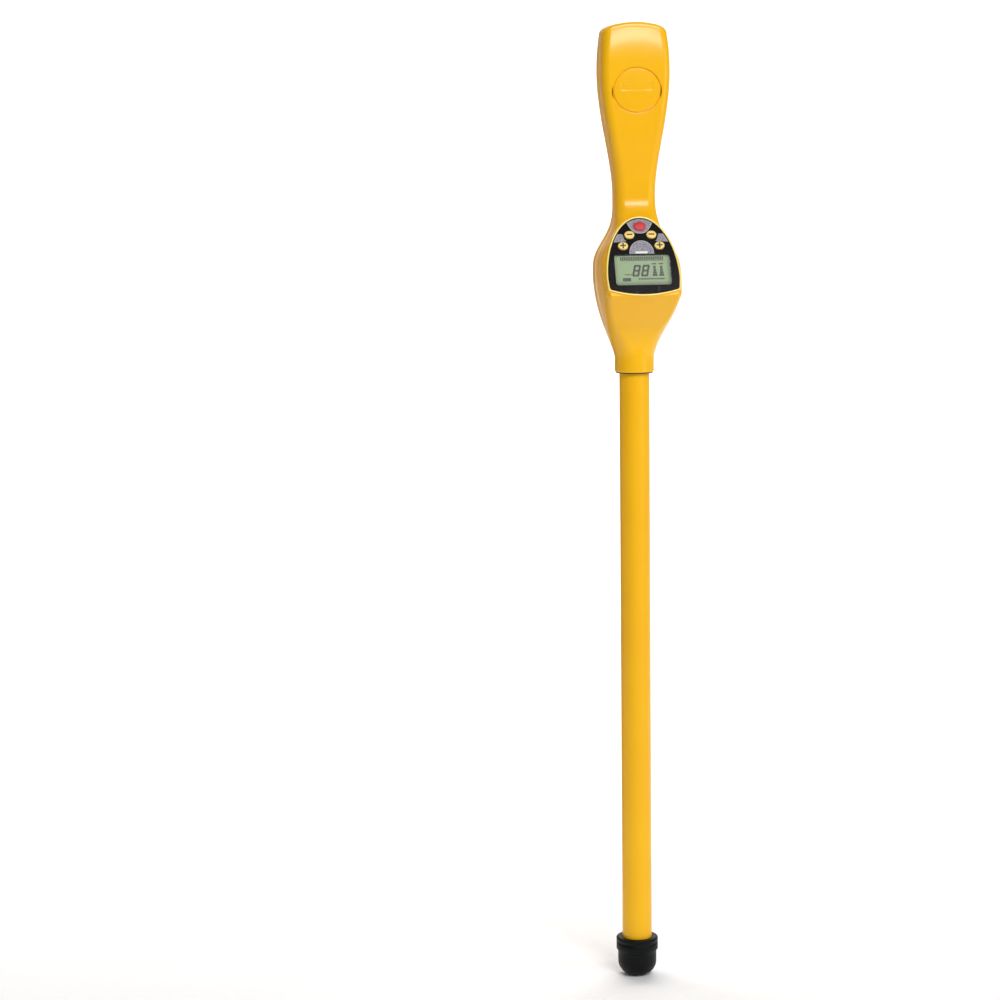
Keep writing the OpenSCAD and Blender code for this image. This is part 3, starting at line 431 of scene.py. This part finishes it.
def speaker_patch(grid, rows, columns, radii):
    """Fills the square hole cut in a shell's flat face: rings that change from the hole's edge, walked
    once round, into circles about the speaker, each [radius, depth behind the face]."""
    edge = np.concatenate([grid[rows[0], columns[0]:columns[1]],
                           grid[rows[0]:rows[1], columns[1]],
                           grid[rows[1], columns[1]:columns[0]:-1],
                           grid[rows[1]:rows[0]:-1, columns[0]]])
    turn = np.arctan2((edge[:, 2] - speaker_z) / speaker_squat, edge[:, 0])
    face = edge[:, 1]
    rings = [edge]
    first = radii[0][0]
    for share in (0.33, 0.66):
        circle = np.stack([first * np.cos(turn), face,
                           speaker_z + speaker_squat * first * np.sin(turn)], axis=1)
        rings.append(blend(edge, circle, share))
    for radius, depth in radii:
        rings.append(np.stack([radius * np.cos(turn), -bulb_front + depth + 0 * face,
                               speaker_z + speaker_squat * radius * np.sin(turn)], axis=1))
    return np.stack(rings)


front_grid = shell_grid(True)
middles = cell_middles(front_grid)
offset = middles - panel_home
mid_u, mid_v, mid_w = offset[..., 0], offset @ panel_up, offset @ panel_out
cut_out = 0.9
in_arch = (mid_u / (panel_half + cut_out)) ** 2 + ((mid_v - arch_v) / (panel_l - arch_v + cut_out)) ** 2 < 1
in_foot = (abs(mid_u) < panel_half + 0.4) & (mid_v > foot_v(np.clip(mid_u, -60, 60), cut_out))
in_panel = (mid_w > -9) & np.where(mid_v > arch_v, in_arch, in_foot)
hole_half, speaker_squat = 29.2, 0.93
row_z = front_grid[:, 27, 2]
hole_rows = [int(np.argmin(abs(row_z - height))) for height in (speaker_z - hole_half, speaker_z + hole_half)]
hole_columns = [21, front_grid.shape[1] - 22]
keep = ~in_panel
keep[hole_rows[0]:hole_rows[1], hole_columns[0]:hole_columns[1]] = False
front_skin = part_mesh("front_skin", front_grid, keep=keep)
hole_r = cover_r + sound_gap
hole_profile = [[hole_r + 0.7, 0], [hole_r + 0.35, 0.06], [hole_r + 0.1, 0.25], [hole_r, 0.6], [hole_r, 0.9],
                [hole_r - 0.12, 1.15], [hole_r - 0.4, 1.3], [hole_r - 2.0, 1.3]]
hole_rings = speaker_patch(front_grid, hole_rows, hole_columns, hole_profile)
speaker_rim = part_mesh("speaker_rim", hole_rings, ring=True)
shell_plastic = moulded("shell_plastic", yellow, yellow_shade, 0.3, grain=0.1, coat=0.12,
                        Coat_Roughness=0.14, Specular_IOR_Level=0.4)
shell_plastic.on(front_skin, speaker_rim)
for piece in (front_skin, speaker_rim):
    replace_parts(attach(piece, "wand"), "front_shell")

# ---- Rear shell: the same plastic, with a raised pad round the battery bay and a
# sunk well over each of the nine screws that close the head.
rear_grid = shell_grid(False)
middles = cell_middles(rear_grid)
door_low, door_high = [1000 * np.array(c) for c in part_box("battery_door")]
door_z0, door_z1 = door_low[2] + 4.5, door_high[2]
door_half, pad_y, land_y, bay_floor_y = door_high[0], 25.7, 23.2, 19.6
pad_half, pad_z0, pad_z1 = door_half + 3.0, door_z0 - 6.0, door_z1 + 3.0
bay_half, bay_z0, bay_z1 = door_half - 3.4, door_z0 + 3.4, door_z1 - 9.5
screw_pairs = ((head_half - 6.2, widest_z), (tube_r + 4.8, hip_z + 26),
               (20, face_z - 8), (24, shoulder_z - 15))
screws = np.array([[0, blend(grip_z, face_z, 0.18)]] + [[s * x, z] for x, z in screw_pairs for s in (-1, 1)])


def back_height(x, z):
    """Depth of the rear shell's skin over the point x, z: the flat back, falling away on the round corner."""
    r = corner(z, collar_r, 12, 11, 9)
    over = np.clip(abs(x) - half_width(z) + r, 0, r * 0.999)
    return back_reach(z) - r + np.sqrt(r * r - over * over)


mid_x, mid_y, mid_z = middles[..., 0], middles[..., 1], middles[..., 2]
under_pad = (abs(mid_x) < pad_half - 1) & (mid_z > pad_z0 + 1) & (mid_z < pad_z1 - 1) & (mid_y > 12)
in_well = np.zeros(under_pad.shape, bool)
for x, z in screws:
    in_well |= (np.hypot(mid_x - x, mid_z - z) < 3.9) & (mid_y > 5)
rear_skin = part_mesh("rear_skin", rear_grid, keep=~(under_pad | in_well))
shell_plastic.on(rear_skin)
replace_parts(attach(rear_skin, "wand"), "rear_shell")
q = np.linspace(0, 2 * np.pi, 41)[:-1]
for number, (x, z) in enumerate(screws):
    rings = []
    for radius, lift in ((5.4, -0.5), (5.3, 0.1), (5.0, 0.28), (3.7, 0.28), (3.35, 0.1), (3.25, -0.5)):
        px, pz = x + radius * np.cos(q), z + radius * np.sin(q)
        rings.append(np.stack([px, back_height(px, pz) + lift, pz], axis=1))
    for radius, depth in ((3.2, 12.2), (3.2, 10.0)):
        rings.append(np.stack([x + radius * np.cos(q), depth + 0 * q, z + radius * np.sin(q)], axis=1))
    well = part_mesh("screw_well_%d" % number, np.stack(rings), ring=True)
    shell_plastic.on(well)
    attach(well, "wand")


def round_box(half, z0, z1, r, y, steps=10):
    """Closed outline of a rounded rectangle on the back, at depth y, walked from its lower right corner."""
    t = np.linspace(0, np.pi / 2, steps)
    arcs = [(half - r, z0 + r, -np.pi / 2), (half - r, z1 - r, 0),
            (-half + r, z1 - r, np.pi / 2), (-half + r, z0 + r, np.pi)]
    bends = [np.stack([cx + r * np.cos(t + a), np.full(steps, y), cz + r * np.sin(t + a)], axis=1)
             for cx, cz, a in arcs]
    return np.concatenate(bends)


pad_rings = []
for grow, y in ((0.5, 19.0), (0.5, 24.0), (0.35, 25.0), (0.1, 25.45), (-0.35, 25.66), (-0.8, pad_y)):
    edge = grow - 0.5
    pad_rings.append(round_box(pad_half + edge, pad_z0 - edge, pad_z1 + edge, 4.0 + grow, y))
for grow, y in ((0.75, pad_y), (0.45, 25.6), (0.35, 25.3), (0.35, land_y)):
    pad_rings.append(round_box(door_half + grow, door_z0 - grow - 0.65, door_z1 + grow, 2.2 + grow, y))
for grow, y in ((0.3, land_y), (0.05, land_y - 0.2), (0.0, bay_floor_y)):
    pad_rings.append(round_box(bay_half + grow, bay_z0 - grow, bay_z1 + grow, 1.0 + grow, y))
bay_pad = part_mesh("bay_pad", np.stack(pad_rings), ring=True)
shell_plastic.on(bay_pad)
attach(bay_pad, "wand")
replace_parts(bay_pad, "rear_shell")

# ---- Battery door: a flat yellow lid with a moulded grip pattern, hinged below on
# a steel pin and held above by a black quarter-turn latch with a coin slot.
door_rings = []
for grow, y in ((-1.2, 23.32), (-0.1, 23.35), (0, 23.6), (0, 25.1), (-0.12, 25.5), (-0.5, pad_y),
                (-2.6, pad_y), (-2.9, 25.62), (-3.1, 25.4), (-3.5, 25.32)):
    door_rings.append(round_box(door_half + grow, door_z0 - grow, door_z1 + grow, 2.0 + max(grow, -1), y))
door_skin = part_mesh("door_skin", np.stack(door_rings), ring=True, lid=(True, True))
shell_plastic.on(door_skin)
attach(door_skin, "battery_door")
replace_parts(door_skin, "battery_door")
rib_z = np.linspace(door_z0 + 9, door_z0 + 33, 9)
s = np.linspace(-1, 1, 33)[None, :]
b = np.linspace(0, np.pi, 9)[:, None]
for number, z in enumerate(rib_z):
    reach = 13.0 * np.sqrt(1 - ((z - rib_z.mean()) / 19) ** 2)
    slim = np.sqrt(np.clip(1 - s ** 6, 0.02, 1))
    rib = np.stack([reach * s + 0 * b, 25.2 + 0.47 * slim * np.sin(b), z + 0.8 * slim * np.cos(b)], axis=-1)
    bar = part_mesh("door_rib_%d" % number, rib)
    shell_plastic.on(bar)
    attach(bar, "battery_door")
knuckle_y, knuckle_z = 24.0, door_low[2] + 2.0
knuckle_t = np.linspace(0, 2 * np.pi, 33)[:-1]
knuckle_rings = [np.stack([np.full(len(knuckle_t), x), knuckle_y + r * np.cos(knuckle_t),
                           knuckle_z + r * np.sin(knuckle_t)], axis=1)
                 for x, r in ((-8, 1.05), (-8, 1.7), (-7.7, 2.0), (7.7, 2.0), (8, 1.7), (8, 1.05))]
knuckle = part_mesh("door_knuckle", np.stack(knuckle_rings), ring=True)
web_rings = [round_box(7.9, knuckle_z, door_z0 + 1.5, 0.4, y, 4) for y in (23.4, 25.4)]
web = part_mesh("door_web", np.stack(web_rings), ring=True, lid=(True, True))
for piece in (knuckle, web):
    shell_plastic.on(piece)
    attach(piece, "battery_door")

# ---- Control panel: a gloss black acrylic plate let into a raised rim round the
# leaning display face, with printed grey fields and pale key lines.
# The lip of the rim is coloured paler than the shell's yellow plastic: a painted highlight along the lit lip.
rim_painted_highlight = moulded("rim_painted_highlight", tint(255, 234, 134), tint(254, 226, 116), 0.3, grain=0.08, coat=0.3)
for name, finish, profile in (
        ("panel_rim", rim_painted_highlight, ((0.12, -2.2), (0.12, 0.1), (0.22, 0.42), (0.5, 0.64),
                                    (0.9, 0.7), (1.3, 0.69), (1.6, 0.62))),
        ("panel_skirt", shell_plastic, ((1.6, 0.62), (1.95, 0.42), (2.2, 0.0), (2.4, -0.6),
                                        (2.6, -1.5), (3.0, -3.2), (3.5, -5.5), (3.9, -8.5)))):
    rim = part_mesh(name, np.stack([on_panel(*panel_outline(g).T, w) for g, w in profile]), ring=True)
    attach(rim, "wand")
    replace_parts(rim, "front_shell")
    finish.on(rim)
panel_gloss = Finish("panel_gloss", Coat_Weight=0.12, Coat_Roughness=0.08, Specular_IOR_Level=0.3)
panel_drift = panel_gloss.noise(30, 4)
panel_hair = panel_gloss.step(panel_gloss.noise(160, 3, (1, 0.2, 0.15)), 0.66, 0.8)
panel_gloss.feed(panel_gloss.shader, {
    "Base Color": panel_gloss.between(tint(16, 11, 11), tint(24, 17, 18), panel_drift),
    "Roughness": 0.07 + panel_drift * 0.05 + panel_hair * 0.2})
panel_gloss.relief(panel_gloss.noise(500, 2) + panel_hair * 0.5, 0.04, 0.0001)
panel_gloss.on(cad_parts["control_panel"])


def plate(name, polygons, w, deep, finish):
    """Thin flat pieces laid on the panel: each polygon of [u, v] points becomes a slab whose top is at w."""
    points, faces = [], []
    for outline in polygons:
        outline = np.asarray(outline, float)
        n, first = len(outline), len(points)
        area = np.sum(outline[:, 0] * np.roll(outline[:, 1], -1) - np.roll(outline[:, 0], -1) * outline[:, 1])
        if area < 0:
            outline = outline[::-1]
        for height in (w - deep, w):
            points += on_panel(outline[:, 0], outline[:, 1], height).tolist()
        faces.append([first + n + i for i in range(n)])
        faces += [[first + i, first + (i + 1) % n, first + n + (i + 1) % n, first + n + i] for i in range(n)]
    mesh = bpy.data.meshes.new(name)
    mesh.from_pydata((np.array(points) * 0.001).tolist(), [], faces)
    piece = bpy.data.objects.new(name, mesh)
    bpy.context.scene.collection.objects.link(piece)
    finish.on(piece)
    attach(piece, "wand")
    return piece


def line_band(points, width):
    """A line of even width drawn as quads along points."""
    points = np.asarray(points, float)
    ahead = np.gradient(points, axis=0)
    side = np.stack([-ahead[:, 1], ahead[:, 0]], axis=1) / np.linalg.norm(ahead, axis=1)[:, None] * width / 2
    a, b = points + side, points - side
    return [[a[i], a[i + 1], b[i + 1], b[i]] for i in range(len(points) - 1)]


def printed(name, dark, light, roughness, scale, detail):
    """A matt ink or paint: dark to light by noise = dark + (light - dark) * noise(scale, detail)."""
    ink = Finish(name, Roughness=roughness)
    ink.feed(ink.shader, {"Base Color": ink.between(dark, light, ink.noise(scale, detail))})
    return ink


ink_grey = Finish("ink_grey", Roughness=0.3, Coat_Weight=0.3)
fleck = ink_grey.noise(900, 4)
ink_grey.feed(ink_grey.shader, {
    "Base Color": ink_grey.between(tint(84, 80, 92), tint(150, 146, 160), ink_grey.step(fleck, 0.35, 0.65))})
ink_line = printed("ink_line", tint(150, 146, 156), tint(190, 186, 192), 0.35, 300, 3)
ink_white = printed("ink_white", tint(215, 212, 212), tint(240, 238, 236), 0.35, 300, 3)


def arch_top(u, g):
    """Height of the panel's arched top over u, grown by g: v = arch_v + b sqrt(1 - (u / a)^2)."""
    return arch_v + (panel_l - arch_v + g) * np.sqrt(1 - (np.asarray(u) / (panel_half + g)) ** 2)


def box_uv(left, right, low, high):
    """Corners of a rectangle on the panel."""
    return [[left, low], [right, low], [right, high], [left, high]]


fan_u = np.linspace(-14.0, 14.0, 41)
fan_low = 71.2 + 0.0114 * abs(fan_u) ** 2.66
fan_edge = np.stack([fan_u, np.minimum(fan_low, arch_top(fan_u, -1.0))], axis=1)
fan = np.concatenate([fan_edge, np.stack([fan_u[::-1], arch_top(fan_u[::-1], -1.0)], axis=1)[1:-1]])
dome_t = np.linspace(0, np.pi, 33)
dome = np.stack([13.3 * np.cos(dome_t), 46.9 + 15.4 * np.sin(dome_t) ** 0.9], axis=1)
wing_v = np.linspace(60.7, 70.3, 9)
wing_in = 1.6
wing_far = np.sqrt(1 - ((wing_v - arch_v) / (panel_l - arch_v - wing_in)) ** 2) * (panel_half - wing_in)
wings, wing_lines = [], []
for side in (-1, 1):
    wings.append([[side * u, v] for u, v in zip(wing_far, wing_v)]
                 + [[side * 20.0, 70.4], [side * 17.8, 63.8], [side * 16.0, 61.8]])
    wing_lines += line_band(np.stack([side * wing_far, wing_v], axis=1), 0.7)
key_lines = line_band(fan_edge, 0.7) + line_band(dome, 0.6) + wing_lines
for name, shapes, w, finish, slot_name in (
        ("panel_fields", [fan, dome] + wings, 0.05, ink_grey, "rubber_grey"),
        ("panel_lines", key_lines, 0.08, ink_line, "rubber_grey"),
        ("panel_bar", [box_uv(-6.9, 6.5, 47.5, 49.8)], 0.1, ink_white, "connector_white")):
    plate(name, shapes, w, 0.03, finish)

# ---- Display: a clear acrylic window over a reflective grey-green liquid-crystal
# glass whose dark segments show a bar graph, two digits and small status marks.
window_v = 28.6
window_clear = Finish("window_clear", Alpha=0.03, Roughness=0.06, Specular_IOR_Level=0.5)
window_haze = window_clear.noise(40, 4)
window_clear.feed(window_clear.shader, {
    "Base Color": window_clear.between(tint(190, 200, 190), tint(215, 225, 215), window_haze),
    "Roughness": 0.04 + window_haze * 0.05})
window_clear.on(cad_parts["display_window"])
lcd_face = Finish("lcd_face", Roughness=0.45, Specular_IOR_Level=0.3)
spread = lcd_face.node("ShaderNodeSeparateXYZ", {}, {0: lcd_face.place}, 0)
rise = lcd_face.node("ShaderNodeSeparateXYZ", {}, {0: lcd_face.place}, 2)
rise_mid = 0.001 * (panel_home + window_v * panel_up)[2]
across = lcd_face.node("ShaderNodeMath", dict(operation="ABSOLUTE"), {0: spread})
# Masks for the glass's edges, which are painted darker below: painted shade, as if the window's frame shaded
# the glass.
edge_shade_x = lcd_face.step(across, 0.0265, 0.0312)
along = lcd_face.node("ShaderNodeMath", dict(operation="ABSOLUTE"), {0: rise - rise_mid})
edge_shade_z = lcd_face.step(along, 0.0122, 0.0160)
weave = lcd_face.noise(2500, 1)
lcd_pale = lcd_face.between(tint(150, 172, 130), tint(160, 182, 140), weave)
# The glass colour is darkened towards all four edges: painted shade.
lcd_face.feed(lcd_face.shader, {
    "Base Color": lcd_face.between(lcd_pale, tint(92, 104, 84), (edge_shade_x + edge_shade_z) * 0.6)})
lcd_face.on(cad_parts["lcd_glass"])
segment_ink = printed("segment_ink", tint(12, 20, 10), tint(22, 32, 18), 0.4, 600, 2)
digit_w, digit_h, digit_lean, digit_stroke, digit_foot = 5.7, 11.4, 2.8, 2.2, 23.0
level_bars = [[[-0.1, y], [1.1, y]] for y in (1.0, 0.5, 0.0)]
side_bars = [[[x, high], [x, low]] for x in (0.0, 1.0) for high, low in ((0.98, 0.54), (0.46, 0.02))]
segments = []
for left in (-11.0, -1.3):
    for bar in level_bars + side_bars:
        bar_uv = [[left + digit_w * x + digit_lean * y, digit_foot + digit_h * y] for x, y in bar]
        segments += line_band(bar_uv, digit_stroke)
for middle in (13.2, 20.6):
    for low, high, half in ((22.2, 25.0, 2.9), (25.3, 27.8, 2.3), (28.1, 30.6, 1.7), (30.9, 34.2, 1.5)):
        top = half * 0.75
        segments.append([[middle - half, low], [middle + half, low],
                         [middle + top, high], [middle - top, high]])
    segments.append(box_uv(middle - 2.4, middle + 2.4, 35.8, 37.1))
for left in -24.0 + 2.0 * np.arange(24):
    segments.append([[left, 41.2], [left + 1.5, 41.2], [left + 1.75, 45.0], [left + 0.25, 45.0]])
segments.append(box_uv(-24.0, 23.9, 40.2, 40.8))
segments.append([[-22.3, 16.4], [-14.0, 16.4], [-13.6, 17.0], [-13.6, 19.8],
                 [-14.0, 20.4], [-22.3, 20.4], [-22.7, 19.8], [-22.7, 17.0]])
segments += [box_uv(-20.0 + 1.6 * i, -18.8 + 1.6 * i, 23.6, 24.8) for i in range(5)]
segments += [box_uv(-5.2 + 1.8 * i, -3.8 + 1.8 * i, 18.2, 20.0) for i in range(16)]
plate("lcd_segments", segments, -3.44, 0.05, segment_ink)

# ---- Buttons: five domed caps of rigid plastic through the panel, one red and four
# pale yellow with printed marks, each on its own short stem and switch.
button_places = {
    "power_button": (0, 79.1, 13.6, 10.4),
    "volume_down_button": (-12.1, 69.2, 11.0, 8.8), "volume_up_button": (-20.1, 56.4, 11.0, 8.8),
    "sensitivity_down_button": (12.1, 69.2, 11.0, 8.8), "sensitivity_up_button": (20.1, 56.4, 11.0, 8.8)}
cap_edge = ((-0.25, -3.2), (-0.25, -2.3), (0, -2.2), (0, 0.6), (0.1, 0.95), (0.35, 1.2),
            (0.8, 1.38), (1.6, 1.52), (2.6, 1.62), (3.7, 1.67))
arm_half, arm_reach, arm_break = 0.85, 3.2, 0.8
red_cap = moulded("red_cap", tint(208, 40, 46), tint(192, 34, 42), 0.5, grain=0.08)
pale_cap = moulded("pale_cap", tint(255, 220, 124), tint(250, 212, 112), 0.5, grain=0.08)
mark_ink = printed("mark_ink", tint(32, 28, 22), tint(46, 40, 32), 0.4, 500, 2)
t = np.linspace(0, 2 * np.pi, 65)[:-1]
for name, (u, v, w, h) in button_places.items():
    rings = [on_panel(u + (w / 2 - inset) * np.cos(t), v + (h / 2 - inset) * np.sin(t), lift)
             for inset, lift in cap_edge]
    cap = part_mesh(name.replace("button", "cap"), np.stack(rings), ring=True, lid=(True, True))
    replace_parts(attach(cap, name), name)
    "button_red" if name == "power_button" else "button_yellow"
    (red_cap if name == "power_button" else pale_cap).on(cap)
    if name != "power_button":
        arms = [box_uv(u - arm_reach, u + arm_reach, v - arm_half, v + arm_half)]
        if "up" in name:
            arms += [box_uv(u - arm_half, u + arm_half, v + arm_break, v + arm_reach),
                     box_uv(u - arm_half, u + arm_half, v - arm_reach, v - arm_break)]
        mark = plate(name.replace("button", "mark"), arms, 1.7, 0.6, mark_ink)
        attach(mark, name)

# ---- Speaker cover: a shallow yellow dome with a thumb lip moulded across it, which
# snaps into the speaker ring and leaves an even sound gap all round.
dome_rise, slot_depth = 1.0, 0.42
dome_ball = (cover_r ** 2 + dome_rise ** 2) / (2 * dome_rise)
cover_rings = [(r, bulb_front - dome_ball + dome_rise + np.sqrt(dome_ball ** 2 - r * r))
               for r in np.linspace(0.3, cover_r - 0.7, 60)]
cover_rings += [(cover_r - 0.35, bulb_front - 0.02), (cover_r - 0.1, bulb_front - 0.18),
                (cover_r, bulb_front - 0.5), (cover_r, bulb_front - 2.4)]
turn = np.linspace(0, 2 * np.pi, 181)[:-1]
radius = np.array([r for r, y in cover_rings])[:, None]
cover_x, cover_v = radius * np.cos(turn), radius * np.sin(turn)
inside = ease((17.6 - abs(cover_x)) / 0.7)
slot_dip = inside * (ease((cover_v + 0.6) / 0.9) - ease((cover_v - 7.9) / 0.9))
cover_y = -np.array([y for r, y in cover_rings])[:, None] + slot_depth * slot_dip
cover_grid = np.stack([cover_x, cover_y, speaker_z + speaker_squat * cover_v], axis=-1)
cover = part_mesh("cover_skin", cover_grid, ring=True, lid=(True, False))
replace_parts(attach(cover, "wand"), "speaker_cover")
shell_plastic.on(cover)

# ---- Inside and fixings: turned steel screws and pin, rubber seals, the green
# board and its parts, cells, cable and the two sensing coils on their rail.
steel = Finish("turned_steel", Metallic=1.0)
steel_ring = steel.noise(220, 3, (1, 1, 4))
steel.feed(steel.shader, {
    "Base Color": steel.between(tint(150, 152, 155), tint(182, 184, 186), steel_ring),
    "Roughness": 0.26 + steel_ring * 0.2})
steel.relief(steel_ring, 0.1, 0.0001)
bright_steel = Finish("bright_steel", Metallic=1.0)
draw = bright_steel.noise(300, 2, (0.1, 1, 1))
bright_steel.feed(bright_steel.shader, {
    "Base Color": bright_steel.between(tint(186, 188, 190), tint(208, 210, 212), draw),
    "Roughness": 0.18 + draw * 0.16})
seal_rubber = moulded("seal_rubber", tint(34, 34, 34), tint(44, 44, 44), 0.6, grain=0.3)
mat_rubber = moulded("mat_rubber", tint(74, 74, 78), tint(84, 84, 88), 0.6, grain=0.2)
dark_plastic = moulded("dark_plastic", tint(52, 54, 58), tint(62, 64, 68), 0.45, grain=0.25)
cone_paper = moulded("cone_paper", tint(40, 40, 42), tint(52, 52, 54), 0.8, grain=0.6)
ferrite = moulded("ferrite", tint(48, 48, 51), tint(58, 58, 60), 0.55, grain=0.4)
board_mask = moulded("board_mask", tint(30, 104, 56), tint(36, 116, 64), 0.3, grain=0.1, coat=0.3)
chip_black = moulded("chip_black", tint(36, 38, 41), tint(46, 48, 51), 0.5, grain=0.3)
socket_white = moulded("socket_white", tint(232, 229, 219), tint(222, 218, 206), 0.4, grain=0.15)
diffuser = moulded("diffuser", tint(232, 235, 228), tint(224, 228, 220), 0.4, grain=0.1)
latch_black = moulded("latch_black", tint(34, 30, 30), tint(46, 42, 42), 0.4, grain=0.2)
rail_board = moulded("rail_board", tint(214, 198, 156), tint(202, 184, 140), 0.5, grain=0.3)
foam = moulded("foam", tint(88, 90, 93), tint(100, 102, 105), 0.85, grain=0.9)
cell_wrap = moulded("cell_wrap", tint(46, 62, 96), tint(40, 54, 84), 0.3, grain=0.05, coat=0.3)
red_wire = moulded("red_wire", tint(178, 56, 50), tint(164, 48, 44), 0.4, grain=0.1)
dark_wire = moulded("dark_wire", tint(36, 38, 43), tint(46, 48, 52), 0.4, grain=0.1)
blue_wire = moulded("blue_wire", tint(46, 94, 162), tint(40, 84, 148), 0.4, grain=0.1)
coil = Finish("coil_copper", Metallic=0.85, Coat_Weight=0.4)
winding = coil.node("ShaderNodeTexWave", dict(wave_type="BANDS", bands_direction="Z"),
                    {"Vector": coil.place, "Scale": 900.0, "Distortion": 0.4}, 1)
coil.feed(coil.shader, {
    "Base Color": coil.between(tint(150, 84, 40), tint(204, 132, 76), winding),
    "Roughness": 0.25 + winding * 0.2})
coil.relief(winding, 0.5, 0.0002)
node_finish = {
    "shell_screws": steel, "board_screws": steel, "door_hinge_pin": bright_steel,
    "parting_seal": seal_rubber, "collar_gasket": seal_rubber, "door_seal": seal_rubber,
    "tube_seal": seal_rubber, "key_mat": mat_rubber, "speaker_ring": dark_plastic,
    "speaker_basket": dark_plastic, "speaker_cone": cone_paper, "speaker_magnet": ferrite,
    "main_board": board_mask, "key_switches": chip_black, "board_chips": chip_black,
    "board_sockets": socket_white, "lcd_frame": bright_steel, "backlight": diffuser,
    "battery_holder": dark_plastic, "batteries": cell_wrap, "battery_contacts": socket_white,
    "battery_leads": dark_wire, "speaker_leads": red_wire, "sensor_leads": blue_wire,
    "tube_retainer": dark_plastic, "tube_connector": socket_white, "sensor_rail": rail_board,
    "centring_discs": foam, "upper_sensor": coil, "lower_sensor": coil, "tip_plug": dark_plastic,
    "door_latch": latch_black, "latch_clip": bright_steel}
for name, finish in node_finish.items():
    finish.on(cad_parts[name])

# ---- Studio: a seamless pale sweep lit by two lamps of its own, a soft key above
# and in front of the wand, a strip on the right, and on the left a tan card that
# only the reflections on the yellow plastic see.
sweep_t = np.concatenate([np.linspace(0, 1, 12), np.linspace(0, np.pi / 2, 25)[1:] + 1])
sweep_y = np.where(sweep_t <= 1, -9 + 12 * sweep_t, 3 + 3 * np.sin(sweep_t - 1))
sweep_z = np.where(sweep_t <= 1, 0, 3 * (1 - np.cos(sweep_t - 1)))
sweep_y, sweep_z = np.append(sweep_y, 6), np.append(sweep_z, 9)
sweep_x = np.linspace(-12, 12, 13)[:, None]
floor_drop = 0.0005
sweep_grid = np.stack([sweep_x + 0 * sweep_y, sweep_y + 0 * sweep_x, sweep_z + 0 * sweep_x - floor_drop],
                      axis=-1)
sweep = part_mesh("sweep", 1000 * sweep_grid)
sweep_paint = Finish("sweep_paint", Roughness=0.9, Specular_IOR_Level=0.1)
sweep_paint.feed(sweep_paint.shader, {
    "Base Color": sweep_paint.between(tint(250, 250, 250), tint(252, 252, 252), sweep_paint.noise(2, 2))})
sweep_paint.on(sweep)
for name, place, aim, size, power in (
        ("key_light", (0.5, -2.8, 2.75), (0, 0, 0.8), (1.5, 1.1), 70),
        ("side_light", (2.4, -2.0, 1.3), (0, 0, 0.5), (0.7, 2.0), 16),
        ("sweep_light", (0, 2.4, 4.6), (0, 5.5, 1.6), (6.0, 2.0), 215),
        ("floor_light", (0, 1.4, 2.4), (0, 2.8, 0), (3.0, 0.8), 58)):
    lamp = bpy.data.lights.new(name, "AREA")
    lamp.shape, lamp.size, lamp.size_y, lamp.energy = "RECTANGLE", size[0], size[1], power
    light = bpy.data.objects.new(name, lamp)
    bpy.context.scene.collection.objects.link(light)
    away = np.array(place, float) - np.array(aim, float)
    away /= np.linalg.norm(away)
    right = np.cross([0, 0, 1.0], away)
    right /= np.linalg.norm(right)
    stand = np.eye(4)
    stand[:3, 0], stand[:3, 1], stand[:3, 2], stand[:3, 3] = right, np.cross(away, right), away, place
    light.matrix_world = Matrix(stand.tolist())
flag_x, flag_y, flag_z = -0.25, (0.2, 3.2), (0.0, 2.4)
flag_grid = np.array([[[flag_x, y, z] for y in flag_y] for z in flag_z])
flag = part_mesh("flag", 1000 * flag_grid)
flag_cloth = Finish("flag_cloth", Roughness=0.9, Specular_IOR_Level=0.1)
flag_cloth.feed(flag_cloth.shader, {
    "Base Color": flag_cloth.between(tint(158, 124, 102), tint(166, 132, 108), flag_cloth.noise(2, 2))})
flag_cloth.on(flag)
flag.visible_camera = flag.visible_shadow = False
bpy.context.scene.view_settings.view_transform = "Standard"
world = bpy.data.worlds.new("studio")
bpy.context.scene.world = world
world.use_nodes = True
world.node_tree.nodes["Background"].inputs["Color"].default_value = (1, 1, 1, 1)
world.node_tree.nodes["Background"].inputs["Strength"].default_value = 0.2
